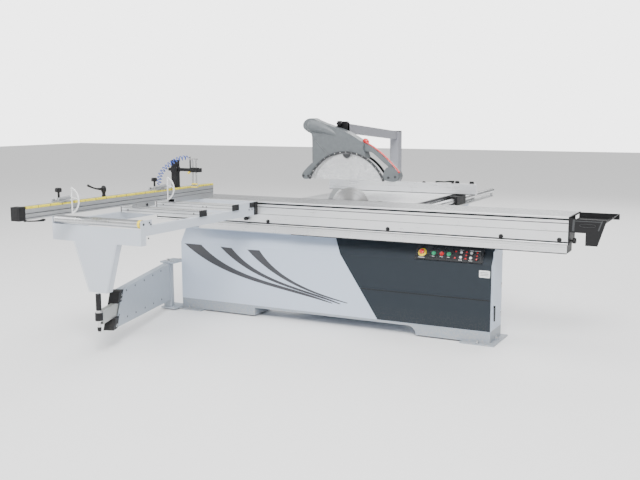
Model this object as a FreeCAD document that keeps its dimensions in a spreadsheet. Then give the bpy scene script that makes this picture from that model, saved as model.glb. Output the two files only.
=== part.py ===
"""Sliding-table panel saw, built as a parametric document in millimetres.

Frame: +Z up with the floor at Z = 0, +X along the sliding table towards the
operator's end, +Y from the sliding table towards the rip fence.  The origin is
the middle of the four floor anchors under the long base.
"""
import FreeCAD, Part
import Sketcher
import math
import os
import re

SIZES = {
    # heights and overall lengths
    "table_height": 900, "base_length": 2520, "base_half": 130, "carriage_length": 3200,
    "carriage_shift": 160, "running_gap": 0.3, "turning_gap": 0.05,
    # base
    "plinth_height": 88, "kink_height": 540, "lean_top": 640, "wall_top": 656, "lean_run": 68,
    "sheet": 6, "seat_thick": 12, "seat_front": 120, "seat_back": 50, "bay_left": 240,
    "bay_right": 500, "skin": 2, "skin_gap": 1, "split_low": 439, "split_high": 67,
    "arch_left": 585, "arch_right": 669, "arch_height": 71, "arch_round": 61,
    "foot_thick": 10, "foot_inner": 1060, "foot_outer": 1300, "foot_half": 170,
    "anchor_x": 1180, "anchor_y": 150, "anchor_radius": 7, "gusset": 36,
    # end door
    "door_left": 95, "door_right": 105, "door_low": 110, "door_high": 630, "door_thick": 3,
    "door_lap": 12, "latch_y": 65, "latch_z": 250, "latch_length": 98, "latch_width": 14,
    # control panel
    "panel_left": 715, "panel_right": 1195, "panel_low": 8, "panel_high": 112, "panel_thick": 8,
    "key_radius": 9, "key_fit": 0.3, "key_proud": 4, "key_depth": 7, "collar_radius": 24,
    "collar_height": 5, "stop_radius": 18, "stop_height": 20, "stem_radius": 6, "stem_length": 4,
    # rail and guide rods
    "rail_left": 1045, "rail_right": 1755, "rail_front": 186, "rail_wall": 6, "rod_radius": 6,
    "rod_front": 150, "rod_back": 85,
    # sliding carriage
    "carriage_height": 180, "carriage_front": 190, "box_back": 20, "flange_back": 160,
    "flange_thick": 10, "profile_wall": 5, "slot_high": 12, "slot_low": 22, "slot_deep": 10,
    "web_front": 108, "web_back": 102, "end_plate": 6,
    # tray, knob
    "tray_top": 887, "tray_low": 803, "tray_end": 1990, "tray_taper": 30, "tray_back": 115,
    "flap_left": 1866, "flap_low": 724, "tray_sheet": 3, "tray_floor": 862, "tray_rim": 900,
    "lock_y": 140, "lock_z": 745, "lock_radius": 18, "lock_length": 34,
    # outrigger
    "out_left": 1235, "out_right": 518, "out_front": 1540, "beam_low": 800, "beam_high": 858,
    "beam_wide": 40, "tube_wall": 3, "rail_deep": 40, "block_high": 897, "block_front": 450,
    "plank_left": 1180, "plank_right": 512, "plank_wide": 80, "plank_one": 930, "plank_two": 530,
    "plank_wall": 3, "panel_bottom": 742, "panel_top": 846, "ear_top": 897, "ear_deep": 110,
    "fold_deep": 50, "beam_end": 60,
    "leg_top_left": 1053, "leg_top_right": 716, "leg_low_left": 941, "leg_low_right": 808,
    "leg_low": 423, "leg_deep": 60, "roller_radius": 26, "roller_y": 1512, "roller_z": 873.7,
    "roller_gap": 6, "axle_radius": 6,
    # crosscut fence
    "fence_x": 1023, "fence_half": 30, "fence_low": 929, "fence_high": 1004, "fence_inner": 62,
    "fence_outer": 2000, "fence_wall": 4, "fence_base_end": 560, "fence_clear": 0.5,
    "extension_inner": 900, "extension_fit": 0.5, "cap_long": 50, "cap_over": 3,
    "stop_outer_y": 1620, "stop_inner_y": 650, "stop_block_out": 37, "stop_block_high": 14,
    "stop_block_long": 125, "pivot_x": 1000, "pivot_z": 1030, "stop_plate": 5, "chord_x": 988,
    "arc_x": 1011.3, "arc_z": 1012, "arc_outer": 86, "arc_inner": 77, "stop_pin": 4,
    "lever_y": 1283, "lever_radius": 14, "lever_rise": 36, "lever_long": 150,
    "lever_grip": 9, "column_y": 500, "column_half": 22, "column_top": 1202, "arm_left": 1068,
    "arm_right": 800, "arm_low": 1128, "arm_high": 1150, "arm_half": 11, "rod_one_x": 868,
    "rod_two_x": 838, "clamp_rod": 6, "clamp_top": 1221, "clamp_foot": 1012, "foot_high": 22,
    "pipe_x": 890, "pipe_radius": 5, "pipe_top": 1233, "valve_x": 1085, "valve_y": 618,
    "valve_low": 985, "valve_high": 1010, "valve_half": 16, "nipple_radius": 8,
    "hose_radius": 18, "hose_start": 1028,
    # swing arm
    "hinge_x": 1350, "hinge_y": 190, "bracket_low": 10, "bracket_thick": 12,
    "bracket_top": 388, "bracket_half": 45, "hinge_pin": 15, "hinge_half": 32, "hinge_play": 1,
    "arm_turn": 70.6, "arm_start": 32, "arm_root_low": 78, "arm_top": 374, "arm_end_top": 1080,
    "arm_end_low": 1215, "arm_tip_low": 140, "arm_thick": 50, "arm_wall": 3, "cap_wide": 70,
    "cap_thick": 70, "inner_low": 212, "inner_high": 300, "inner_start": 118, "inner_end": 1408,
    "inner_thick": 34, "slide_fit": 0.5, "head_s": 1431, "knuckle_radius": 24, "knuckle_low": 240,
    "knuckle_high": 297, "washer": 4, "washer_radius": 19, "column_radius": 14, "head_top": 417,
    "tip_radius": 10, "tip_low": 165,
    # saw cabinet, tables
    "cabinet_left": 320, "cabinet_right": 590, "cabinet_back": 760, "cabinet_low": 60,
    "cabinet_wall": 4, "table_left": 333, "table_right": 607, "table_front": 165,
    "table_back": 800, "table_deep": 50, "table_plate": 12, "table_rim": 8, "notch_left": 160,
    "notch_right": 400, "notch_back": 235, "ledge_wide": 18, "ledge_thick": 8, "insert_front": 190,
    "extension_back": 1540, "extension_deep": 40, "extension_plate": 4, "strut_low": 560,
    "strut_end": 800, "strut_thick": 8, "foot_radius": 30, "rear_foot_y": 690,
    "spigot_x": 135, "spigot_z": 250, "spigot_radius": 60, "spigot_wall": 3, "spigot_long": 80,
    # tilting saw unit
    "blade_y": 185, "blade_x": 80, "blade_drop": 57.5, "blade_radius": 157.5, "blade_half": 1.6,
    "cheek_left": 188, "cheek_right": 438, "cheek_thick": 8, "cheek_in": 60, "cheek_out": 112,
    "arc_slot_in": 74.7, "arc_slot_out": 95.3, "track_radius": 85, "track_pin": 10,
    "frame_front": 230, "frame_back": 245, "frame_low": 560, "frame_high": 872,
    "bracket_step": 158, "bracket_wide": 225, "bracket_down": 800, "bracket_plate": 10,
    "housing_half": 40, "housing_front": 203, "housing_slot": 2, "housing_high": 36,
    "slide_left": 10, "slide_right": 385, "slide_back": 257, "slide_low": 560, "slide_step": 700,
    "slide_top": 878, "slide_neck": 150, "arbor_radius": 15, "arbor_front": 163, "arbor_back": 292,
    "flange_radius": 40, "flange_deep": 8, "outer_flange": 25, "outer_thick": 5,
    "motor_x": 300, "motor_z": 630, "motor_radius": 75, "motor_front": 296, "motor_back": 520,
    "motor_shaft": 12, "pulley_front": 264, "pulley_back": 288, "arbor_pulley": 30,
    "motor_pulley": 45, "belt_thick": 5, "mount_left": 352, "mount_low": 570, "mount_high": 690,
    "knife_gap": 6, "knife_wide": 36, "knife_half": 1.2, "knife_arm_low": 805,
    "knife_arm_high": 835, "knife_arm_left": 128, "knife_pad": 40, "arm_clear": 2,
    "scoring_x": 318, "scoring_radius": 60, "scoring_above": 2.5, "scoring_half": 1.3,
    "scoring_shaft": 8, "scoring_motor": 34, "scoring_back": 345, "scoring_house": 24,
    # rip fence
    "bar_x": 660, "bar_z": 860, "bar_radius": 20, "bar_start": 175, "bar_end": 1900,
    "ledge_left": 607, "ledge_right": 672, "ledge_low": 806, "ledge_high": 814, "post_half": 10,
    "casting_half": 34, "casting_low": 826, "casting_high": 893, "casting_front": 830,
    "casting_back": 1040, "casting_slot": 14, "head_left": 600, "head_right": 780,
    "rip_front": 955, "rip_back": 995, "rip_low": 901.5, "rip_high": 985, "rip_left": 490,
    "rip_right": 800, "rip_wall": 4, "head_thick": 12, "rip_knob": 16, "rip_knob_high": 24,
    # guard
    "post_x": 143, "post_y": 1590, "post_side": 40, "post_low": 640, "post_top": 1381,
    "post_wall": 4, "beam_x": 14, "beam_start": 262, "beam_half_wide": 25,
    "beam_mid": 1433, "beam_half_high": 35, "beam_drop": 84, "plate_left": 57, "plate_right": 29,
    "plate_low": 1330, "plate_high": 1472, "hood_half": 45, "hood_wall": 6, "arch_x": 55,
    "arch_z": 928, "arch_r": 325, "guard_lap": 10, "guard_low": 1056, "guard_thick": 3,
}

doc = FreeCAD.newDocument("SlidingTableSaw")
sheet = doc.addObject("Spreadsheet::Sheet", "Sizes")
for row, (word, number) in enumerate(SIZES.items(), start=1):
    sheet.set(f"A{row}", word)
    sheet.set(f"B{row}", str(number))
    sheet.setAlias(f"B{row}", word)
doc.recompute()

# Places worked out from the sizes, as expressions on the sheet.
BASE_LEFT = "-base_length / 2"
BASE_RIGHT = "base_length / 2"
KINK_Y = "-base_half"
LEAN_Y = "-base_half + lean_run"
CARRIAGE_LEFT = "carriage_shift - carriage_length / 2"
CARRIAGE_RIGHT = "carriage_shift + carriage_length / 2"
CARRIAGE_LOW = "table_height - carriage_height"
RAIL_LOW = "wall_top + seat_thick"
RAIL_TOP = f"{CARRIAGE_LOW} - running_gap"
BLADE_Z = "table_height - blade_drop"
LEAN = "atan(lean_run / (lean_top - kink_height))"
SCORING_Z = "table_height + scoring_above - scoring_radius"


def bound(text):
    """The expression with each size's word pointed at the sheet."""
    return re.sub(r"[a-z_]+", lambda m: f"Sizes.{m[0]}" if m[0] in SIZES else m[0], str(text))


def number(text):
    """An expression's present value."""
    result = sheet.evalExpression(bound(text))
    return float(getattr(result, "Value", result))


def place(item, x="0", y="0", z="0"):
    """Bind an object's position to the sheet."""
    for axis, text in zip("xyz", (x, y, z)):
        item.setExpression(f"Placement.Base.{axis}", bound(text))
    return item


def box(name, x, y, z):
    """A block between a low and a high value along each axis."""
    item = doc.addObject("Part::Box", name)
    for side, (low, high) in zip(("Length", "Width", "Height"), (x, y, z)):
        item.setExpression(side, bound(f"({high}) - ({low})"))
    return place(item, x[0], y[0], z[0])


TURNS = {
    "x": FreeCAD.Rotation(FreeCAD.Vector(0, 1, 0), 90),
    "y": FreeCAD.Rotation(FreeCAD.Vector(1, 0, 0), -90),
    "z": FreeCAD.Rotation(),
}


def rod(name, axis, radius, start, centre):
    """A cylinder along an axis: start is (low, high), centre the other two places in order."""
    item = doc.addObject("Part::Cylinder", name)
    item.setExpression("Radius", bound(radius))
    item.setExpression("Height", bound(f"({start[1]}) - ({start[0]})"))
    item.Placement = FreeCAD.Placement(FreeCAD.Vector(), TURNS[axis])
    spots = list(centre)
    spots.insert("xyz".index(axis), start[0])
    return place(item, *spots)


def cut(name, base, *tools):
    """The base with every tool taken away."""
    for step, tool in enumerate(tools, start=1):
        result = doc.addObject("Part::Cut", name if step == len(tools) else f"{name}Cut{step}")
        result.Base = base
        result.Tool = tool
        base = result
    return base


def common(name, base, tool):
    """What two solids share."""
    result = doc.addObject("Part::Common", name)
    result.Base = base
    result.Tool = tool
    return result


def fuse(name, *items):
    """One solid from several."""
    result = doc.addObject("Part::MultiFuse", name)
    result.Shapes = list(items)
    return result


def group(name, *items):
    """Separate solids kept together as one sub-part."""
    result = doc.addObject("Part::Compound", name)
    result.Links = list(items)
    return result


PLANES = {"xy": "XY_Plane", "xz": "XZ_Plane", "yz": "YZ_Plane"}


def outline(sketch, corners):
    """A closed outline whose corners are held by distances from the sketch's origin."""
    spots = [FreeCAD.Vector(number(u), number(v), 0) for u, v in corners]
    first = sketch.GeometryCount
    count = len(spots)
    for i in range(count):
        sketch.addGeometry(Part.LineSegment(spots[i], spots[(i + 1) % count]), False)
    for i in range(count):
        after = first + (i + 1) % count
        sketch.addConstraint(Sketcher.Constraint("Coincident", first + i, 2, after, 1))
    for i, corner in enumerate(corners):
        for kind, text in zip(("DistanceX", "DistanceY"), corner):
            spot = sketch.addConstraint(
                Sketcher.Constraint(kind, -1, 1, first + i, 1, number(text)))
            sketch.setExpression(f"Constraints[{spot}]", bound(text))


def prism(name, plane, loops, low, high):
    """A body padded from an outline, and any holes in it, between two values."""
    body = doc.addObject("PartDesign::Body", name)
    sketch = body.newObject("Sketcher::SketchObject", f"{name}Sketch")
    origin = next(f for f in body.Origin.OriginFeatures if f.Role == PLANES[plane])
    sketch.AttachmentSupport = [(origin, "")]
    sketch.MapMode = "FlatFace"
    for corners in loops:
        outline(sketch, corners)
    pad = body.newObject("PartDesign::Pad", f"{name}Pad")
    pad.Profile = sketch
    pad.setExpression("Length", bound(f"({high}) - ({low})"))
    pad.Reversed = plane == "xz"
    axis = ({"x", "y", "z"} - set(plane)).pop()
    body.setExpression(f"Placement.Base.{axis}", bound(low))
    return body


def rectangle(u, v):
    """The four corners between two values each way."""
    return [(u[0], v[0]), (u[1], v[0]), (u[1], v[1]), (u[0], v[1])]


def tube(name, plane, u, v, wall, low, high):
    """A rectangular tube."""
    inner = ((f"{u[0]} + {wall}", f"{u[1]} - {wall}"), (f"{v[0]} + {wall}", f"{v[1]} - {wall}"))
    return prism(name, plane, [rectangle(u, v), rectangle(*inner)], low, high)


nodes = []


def keep(item):
    """Count an object as a sub-part, named by its Label."""
    nodes.append(item)
    return item


# ---------------------------------------------------------------- base
def build_base():
    """Welded sheet base: bent front wall, end and bay walls, open at the back of the bay."""
    wall_low = "plinth_height"
    front = prism("FrontWall", "yz", [[
        (KINK_Y, wall_low), (f"{KINK_Y} + sheet", wall_low), (f"{KINK_Y} + sheet", "kink_height"),
        (f"{LEAN_Y} + sheet", "lean_top"), (f"{LEAN_Y} + sheet", "wall_top"),
        (LEAN_Y, "wall_top"), (LEAN_Y, "lean_top"), (KINK_Y, "kink_height")]],
        BASE_LEFT, BASE_RIGHT)
    section = [
        (f"{KINK_Y} + sheet", "plinth_height + sheet"), (f"{KINK_Y} + sheet", "kink_height"),
        (f"{LEAN_Y} + sheet", "lean_top"), (f"{LEAN_Y} + sheet", "wall_top - sheet"),
        ("base_half - sheet", "wall_top - sheet"), ("base_half - sheet", "plinth_height + sheet")]
    spans = {"LeftEnd": BASE_LEFT, "BayLeft": "-bay_left - sheet", "BayRight": "bay_right",
             "RightEnd": f"{BASE_RIGHT} - sheet"}
    walls = {name: prism(name, "yz", [section], low, f"{low} + sheet")
             for name, low in spans.items()}
    doorway = box("Doorway", (f"{BASE_RIGHT} - 2 * sheet", f"{BASE_RIGHT} + sheet"),
                  ("-door_left + door_lap", "door_right - door_lap"),
                  ("door_low + door_lap", "door_high - door_lap"))
    walls["RightEnd"] = cut("RightEndWall", walls["RightEnd"], doorway)
    halves = {"Left": (BASE_LEFT, "-bay_left"), "Right": ("bay_right", BASE_RIGHT)}
    plates = []
    for name, span in halves.items():
        plates.append(box(f"Top{name}", span, (f"{LEAN_Y} + sheet", "base_half"),
                          ("wall_top - sheet", "wall_top")))
        plates.append(box(f"Back{name}", span, ("base_half - sheet", "base_half"),
                          ("plinth_height + sheet", "wall_top - sheet")))
    floor = box("BottomPlate", (BASE_LEFT, BASE_RIGHT), (f"{KINK_Y} + sheet", "base_half"),
                ("plinth_height", "plinth_height + sheet"))
    seat = box("RailSeat", ("-rail_left", BASE_RIGHT), ("-seat_front", "-seat_back"),
               ("wall_top", RAIL_LOW))
    keep(group("base_frame", front, *walls.values(), *plates, floor, seat))


def build_plinth():
    """Plinth plates with the long arch, and a gusset on each end."""
    side_plates = []
    for name, low in {"Front": "-base_half", "Back": "base_half - sheet"}.items():
        span = (low, f"{low} + sheet")
        blank = box(f"Plinth{name}Blank", (BASE_LEFT, BASE_RIGHT), span,
                    ("foot_thick", "plinth_height"))
        arch = box(f"Arch{name}", ("-arch_left", "arch_right"), (f"{low} - sheet", f"{low} + 2*sheet"),
                   ("0", "arch_height"))
        end = rod(f"ArchEnd{name}", "y", "arch_round", (f"{low} - sheet", f"{low} + 2 * sheet"),
                  ("arch_right", "foot_thick"))
        side_plates.append(cut(f"Plinth{name}", blank, arch, end))
    inside = ("-base_half + sheet", "base_half - sheet")
    for name, low in {"Left": BASE_LEFT, "ArchLeft": "-arch_left - sheet",
                      "ArchRight": "arch_right + arch_round", "Right": f"{BASE_RIGHT} - sheet"}.items():
        side_plates.append(box(f"PlinthCross{name}", (low, f"{low} + sheet"), inside,
                               ("foot_thick", "plinth_height")))
    for name, sign in {"Right": "", "Left": "-"}.items():
        corners = [(f"{sign}base_length / 2", "foot_thick"),
                   (f"{sign}(base_length / 2 + gusset)", "foot_thick"),
                   (f"{sign}base_length / 2", "foot_thick + gusset")]
        side_plates.append(prism(f"Gusset{name}", "xz", [corners], "-sheet / 2", "sheet / 2"))

    feet = []
    for name, sign in {"Right": 1, "Left": -1}.items():
        span = ("foot_inner", "foot_outer") if sign > 0 else ("-foot_outer", "-foot_inner")
        plate = box(f"Foot{name}Blank", span, ("-foot_half", "foot_half"), ("0", "foot_thick"))
        holes = [rod(f"Anchor{name}{side}", "z", "anchor_radius", ("-1", "foot_thick + 1"),
                     (f"{sign} * anchor_x", f"{way} * anchor_y"))
                 for side, way in {"Front": -1, "Back": 1}.items()]
        feet.append(cut(f"Foot{name}", plate, *holes))
    for name, x in {"Left": "-cabinet_left + 70", "Right": "cabinet_right - 70"}.items():
        feet.append(rod(f"RearFoot{name}", "z", "foot_radius", ("0", "cabinet_low"),
                        (x, "rear_foot_y")))
    keep(group("plinth", *side_plates, *feet))


def build_fascia():
    """Two bent cover sheets that meet on a slanting line."""
    low = "plinth_height + skin"
    corners = [(KINK_Y, low), (KINK_Y, "kink_height"), (LEAN_Y, "lean_top"),
               (LEAN_Y, "wall_top - skin"), (f"{LEAN_Y} - skin", "wall_top - skin"),
               (f"{LEAN_Y} - skin", "lean_top"), (f"{KINK_Y} - skin", "kink_height"),
               (f"{KINK_Y} - skin", low)]
    for name, shift, join in (("fascia_light", "-skin_gap", cut), ("fascia_dark", "0", common)):
        bent = prism(f"{name}_sheet", "yz", [corners], BASE_LEFT, BASE_RIGHT)
        side = prism(f"{name}_side", "xz", [[
            (f"split_low + ({shift})", "plinth_height"), (f"split_high + ({shift})", "wall_top"),
            ("base_length", "wall_top"), ("base_length", "plinth_height")]], "-2 * base_half", "0")
        keep(join(name, bent, side))


def build_door():
    """End door on its hinge edge, with a lever latch."""
    right = f"{BASE_RIGHT} + door_thick"
    keep(box("end_door", (BASE_RIGHT, right), ("-door_left", "door_right"),
             ("door_low", "door_high")))
    boss = rod("LatchBoss", "x", "latch_width / 2", (right, f"{right} + 4"), ("-latch_y", "latch_z"))
    lever = box("LatchLever", (f"{right} + 4", f"{right} + 10"),
                ("-latch_y - latch_width / 2", "-latch_y + latch_width / 2"),
                ("latch_z - latch_length", "latch_z + latch_width / 2"))
    keep(fuse("door_latch", boss, lever))


def leaning(item, x, along, out):
    """Set an object on the leaning fascia: along the slope from the kink, and out from it."""
    y = f"{KINK_Y} - skin + ({along}) * sin({LEAN}) - ({out}) * cos({LEAN})"
    z = f"kink_height + ({along}) * cos({LEAN}) + ({out}) * sin({LEAN})"
    return place(item, x, y, z)


def panel_rod(name, x, along, radius, out):
    """A round piece standing square on the leaning panel."""
    item = doc.addObject("Part::Cylinder", name)
    item.setExpression("Radius", bound(radius))
    item.setExpression("Height", bound(f"({out[1]}) - ({out[0]})"))
    item.Placement = FreeCAD.Placement(FreeCAD.Vector(), FreeCAD.Rotation(FreeCAD.Vector(1, 0, 0), 1))
    item.setExpression("Placement.Rotation.Angle", bound(f"90 deg - {LEAN}"))
    return leaning(item, x, along, out[0])


KEYS = {
    "start_key": (845, 60), "stop_key": (903, 60), "scoring_key": (953, 60),
    "raise_key": (1040, 78), "lower_key": (1040, 42), "tilt_up_key": (1110, 78),
    "tilt_down_key": (1110, 42),
}
STOP_AT = (762, 60)


def build_panel():
    """Control panel with its keys in pockets and the stop button in a collar."""
    plate = doc.addObject("Part::Box", "PanelPlate")
    plate.setExpression("Length", bound("panel_right - panel_left"))
    plate.setExpression("Width", bound("panel_thick"))
    plate.setExpression("Height", bound("panel_high - panel_low"))
    plate.Placement = FreeCAD.Placement(FreeCAD.Vector(), FreeCAD.Rotation(FreeCAD.Vector(-1, 0, 0), 1))
    plate.setExpression("Placement.Rotation.Angle", bound(LEAN))
    leaning(plate, "panel_left", "panel_low", "panel_thick")
    collar = panel_rod("StopCollar", *STOP_AT, "collar_radius",
                       ("panel_thick", "panel_thick + collar_height"))
    face = "panel_thick + collar_height"
    pockets = [panel_rod("StopPocket", *STOP_AT, "stem_radius + key_fit",
                         ("panel_thick - key_depth", f"{face} + 1"))]
    for name, (x, along) in KEYS.items():
        pockets.append(panel_rod(f"{name}_pocket", x, along, "key_radius + key_fit",
                                 ("panel_thick - key_depth", "panel_thick + 1")))
    keep(cut("control_panel", fuse("PanelBlank", plate, collar), *pockets))
    for name, (x, along) in KEYS.items():
        keep(panel_rod(name, x, along, "key_radius",
                       ("panel_thick - key_proud", "panel_thick + key_proud")))
    stem = panel_rod("StopStem", *STOP_AT, "stem_radius", (f"{face} - stem_length", f"{face} + 6"))
    head = panel_rod("StopHead", *STOP_AT, "stop_radius", (f"{face} + 6", f"{face} + stop_height"))
    keep(fuse("emergency_stop_button", stem, head))


def build_rail():
    """Fixed rail with two round guide rods in its top."""
    wall = "rail_wall"
    hollow = tube("RailTube", "yz", ("-rail_front", "-seat_back"), (RAIL_LOW, RAIL_TOP), wall,
                  "-rail_left", "rail_right")
    span = ("-rail_left", "rail_right")
    grooves = [rod(f"RailGroove{y}", "x", "rod_radius + 0.05", span, (f"-{y}", CARRIAGE_LOW))
               for y in ("rod_front", "rod_back")]
    rods = [rod(f"GuideRod{y}", "x", "rod_radius", span, (f"-{y}", CARRIAGE_LOW))
            for y in ("rod_front", "rod_back")]
    keep(group("fixed_rail", cut("RailBody", hollow, *grooves), *rods))


def carriage_outline():
    """The carriage's outer section, with the clamping slot near its top front edge."""
    top = "table_height"
    return [("-carriage_front", CARRIAGE_LOW), ("-box_back", CARRIAGE_LOW),
            ("-box_back", f"{top} - flange_thick"), ("flange_back", f"{top} - flange_thick"),
            ("flange_back", top), ("-carriage_front", top),
            ("-carriage_front", f"{top} - slot_high"),
            ("-carriage_front + slot_deep", f"{top} - slot_high"),
            ("-carriage_front + slot_deep", f"{top} - slot_low"),
            ("-carriage_front", f"{top} - slot_low")]


def build_carriage():
    """Extruded sliding table with end plates, tray and locking knob."""
    top = "table_height"
    wall = "profile_wall"
    heights = (f"{CARRIAGE_LOW} + rod_radius + {wall}", f"{top} - flange_thick")
    cells = [rectangle((f"-carriage_front + slot_deep + {wall}", "-web_front"), heights),
             rectangle(("-web_back", f"-box_back - {wall}"), heights)]
    profile = prism("CarriageProfile", "yz", [carriage_outline(), *cells],
                    CARRIAGE_LEFT, CARRIAGE_RIGHT)
    span = (f"{CARRIAGE_LEFT} - 1", f"{CARRIAGE_RIGHT} + 1")
    grooves = [rod(f"Groove{y}", "x", "rod_radius + running_gap", span, (f"-{y}", CARRIAGE_LOW))
               for y in ("rod_front", "rod_back")]
    keep(cut("carriage", profile, *grooves))
    plates = []
    for name, low in {"Left": f"{CARRIAGE_LEFT} - end_plate", "Right": CARRIAGE_RIGHT}.items():
        blank = prism(f"EndPlate{name}", "yz", [carriage_outline()], low, f"{low} + end_plate")
        holes = [rod(f"EndHole{name}{y}", "x", "rod_radius + running_gap",
                     (f"{low} - 1", f"{low} + end_plate + 1"), (f"-{y}", CARRIAGE_LOW))
                 for y in ("rod_front", "rod_back")]
        plates.append(cut(f"EndPlateCut{name}", blank, *holes))
    keep(group("carriage_end_plates", *plates))

    near = f"{CARRIAGE_RIGHT} + end_plate"
    front = "-carriage_front"
    wall_outline = [(near, "tray_low"), ("flap_left", "tray_low"), ("flap_left", "flap_low"),
                    ("tray_end - 2 * tray_taper + 10", "flap_low"),
                    ("tray_end", "tray_top"), (near, "tray_top")]
    front_wall = prism("TrayFront", "xz", [wall_outline], front, f"{front} + tray_sheet")
    floor = box("TrayFloor", (near, "tray_end - tray_taper / 2"),
                (f"{front} + tray_sheet", "tray_back"), ("tray_floor", "tray_floor + tray_sheet"))
    back = box("TrayBack", (near, "tray_end + tray_taper"), ("tray_back - tray_sheet", "tray_back"),
               ("tray_floor", "tray_rim"))
    end = prism("TrayEnd", "xz", [[
        ("tray_end - tray_taper / 2 - tray_sheet", "tray_floor"),
        ("tray_end - tray_taper / 2", "tray_floor"), ("tray_end + tray_taper", "tray_rim"),
        ("tray_end + tray_taper - tray_sheet", "tray_rim")]], f"{front} + tray_sheet", "tray_back")
    keep(fuse("push_tray", front_wall, floor, back, end))
    shaft = rod("LockShaft", "x", "clamp_rod", (near, f"{near} + lock_length / 2"),
                ("-lock_y", "lock_z"))
    grip = rod("LockGrip", "x", "lock_radius", (f"{near} + lock_length / 2", f"{near} + lock_length"),
               ("-lock_y", "lock_z"))
    keep(fuse("locking_knob", shaft, grip))


def build_outrigger():
    """Outrigger frame on the carriage's front, its planks, leg panel and front roller."""
    back = "-carriage_front"
    front = "-out_front + tray_sheet"
    heights = ("beam_low", "beam_high")
    beams = {"Right": ("-out_right - beam_wide", "-out_right"),
             "Left": ("-out_left", "-out_left + beam_wide")}
    ends = ("-out_front + beam_end", f"{back} - rail_deep")
    pieces = [tube(f"Beam{name}", "xz", span, heights, "tube_wall", *ends)
              for name, span in beams.items()]
    pieces.append(tube("MountRail", "yz", (f"{back} - rail_deep", back), ("beam_low", "block_high"),
                       "tube_wall", "-out_left", "-out_right"))
    pieces.append(tube("CornerBlock", "xz", beams["Right"], ("beam_high", "block_high"),
                       "tube_wall", "-block_front", f"{back} - rail_deep"))
    keep(group("outrigger_frame", *pieces))
    planks = [tube(f"Plank{y}", "yz", (f"-{y}", f"-{y} + plank_wide"),
                   ("beam_high", "table_height"), "plank_wall", "-plank_left", "-plank_right")
              for y in ("plank_one", "plank_two")]
    keep(group("outrigger_planks", *planks))

    low = "panel_bottom"
    sheet_outline = [("-out_left", low), ("-leg_top_left", low), ("-leg_low_left", "leg_low"),
                     ("-leg_low_right", "leg_low"), ("-leg_top_right", low), ("-out_right", low),
                     ("-out_right", "panel_top"), ("-out_left", "panel_top")]
    face = prism("LegPanel", "xz", [sheet_outline], "-out_front", front)
    folds = []
    for name, side in {"Right": 1, "Left": -1}.items():
        edge = "-out_right" if side > 0 else "-out_left"
        ends = (f"{edge} - tray_sheet", edge) if side > 0 else (edge, f"{edge} + tray_sheet")
        ear = box(f"Ear{name}", ends, ("-out_front", "-out_front + ear_deep"), (low, "ear_top"))
        hole = rod(f"AxleHole{name}", "x", "axle_radius + turning_gap",
                   (f"{ends[0]} - 1", f"{ends[1]} + 1"), ("-roller_y", "roller_z"))
        through = (f"{ends[0]} - 1", f"{ends[1]} + 1")
        beam_way = box(f"BeamWay{name}", through, ("-out_front + beam_end", "-out_front + ear_deep + 1"),
                       heights)
        below = box(f"EarBelow{name}", through, ("-out_front + fold_deep", "-out_front + ear_deep + 1"),
                    (f"{low} - 1", "beam_low"))
        folds.append(cut(f"EarCut{name}", ear, hole, beam_way, below))
        top, foot = (("-leg_top_right", "-leg_low_right") if side > 0
                     else ("-leg_top_left", "-leg_low_left"))
        inward = f"{-side} * tray_sheet"
        corners = [(top, low), (f"{top} + {inward}", low), (f"{foot} + {inward}", "leg_low"),
                   (foot, "leg_low")]
        folds.append(prism(f"LegFold{name}", "xz", [corners], front, "-out_front + leg_deep"))
    sole = box("LegSole", ("-leg_low_left + tray_sheet", "-leg_low_right - tray_sheet"),
               (front, "-out_front + leg_deep"), ("leg_low", "leg_low + tray_sheet"))
    keep(fuse("outrigger_leg", face, *folds, sole))

    ends = ("-out_left + tray_sheet + roller_gap", "-out_right - tray_sheet - roller_gap")
    barrel = rod("RollerBarrel", "x", "roller_radius", ends, ("-roller_y", "roller_z"))
    axle = rod("RollerAxle", "x", "axle_radius", ("-out_left", "-out_right"),
               ("-roller_y", "roller_z"))
    keep(fuse("front_roller", barrel, axle))


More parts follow.
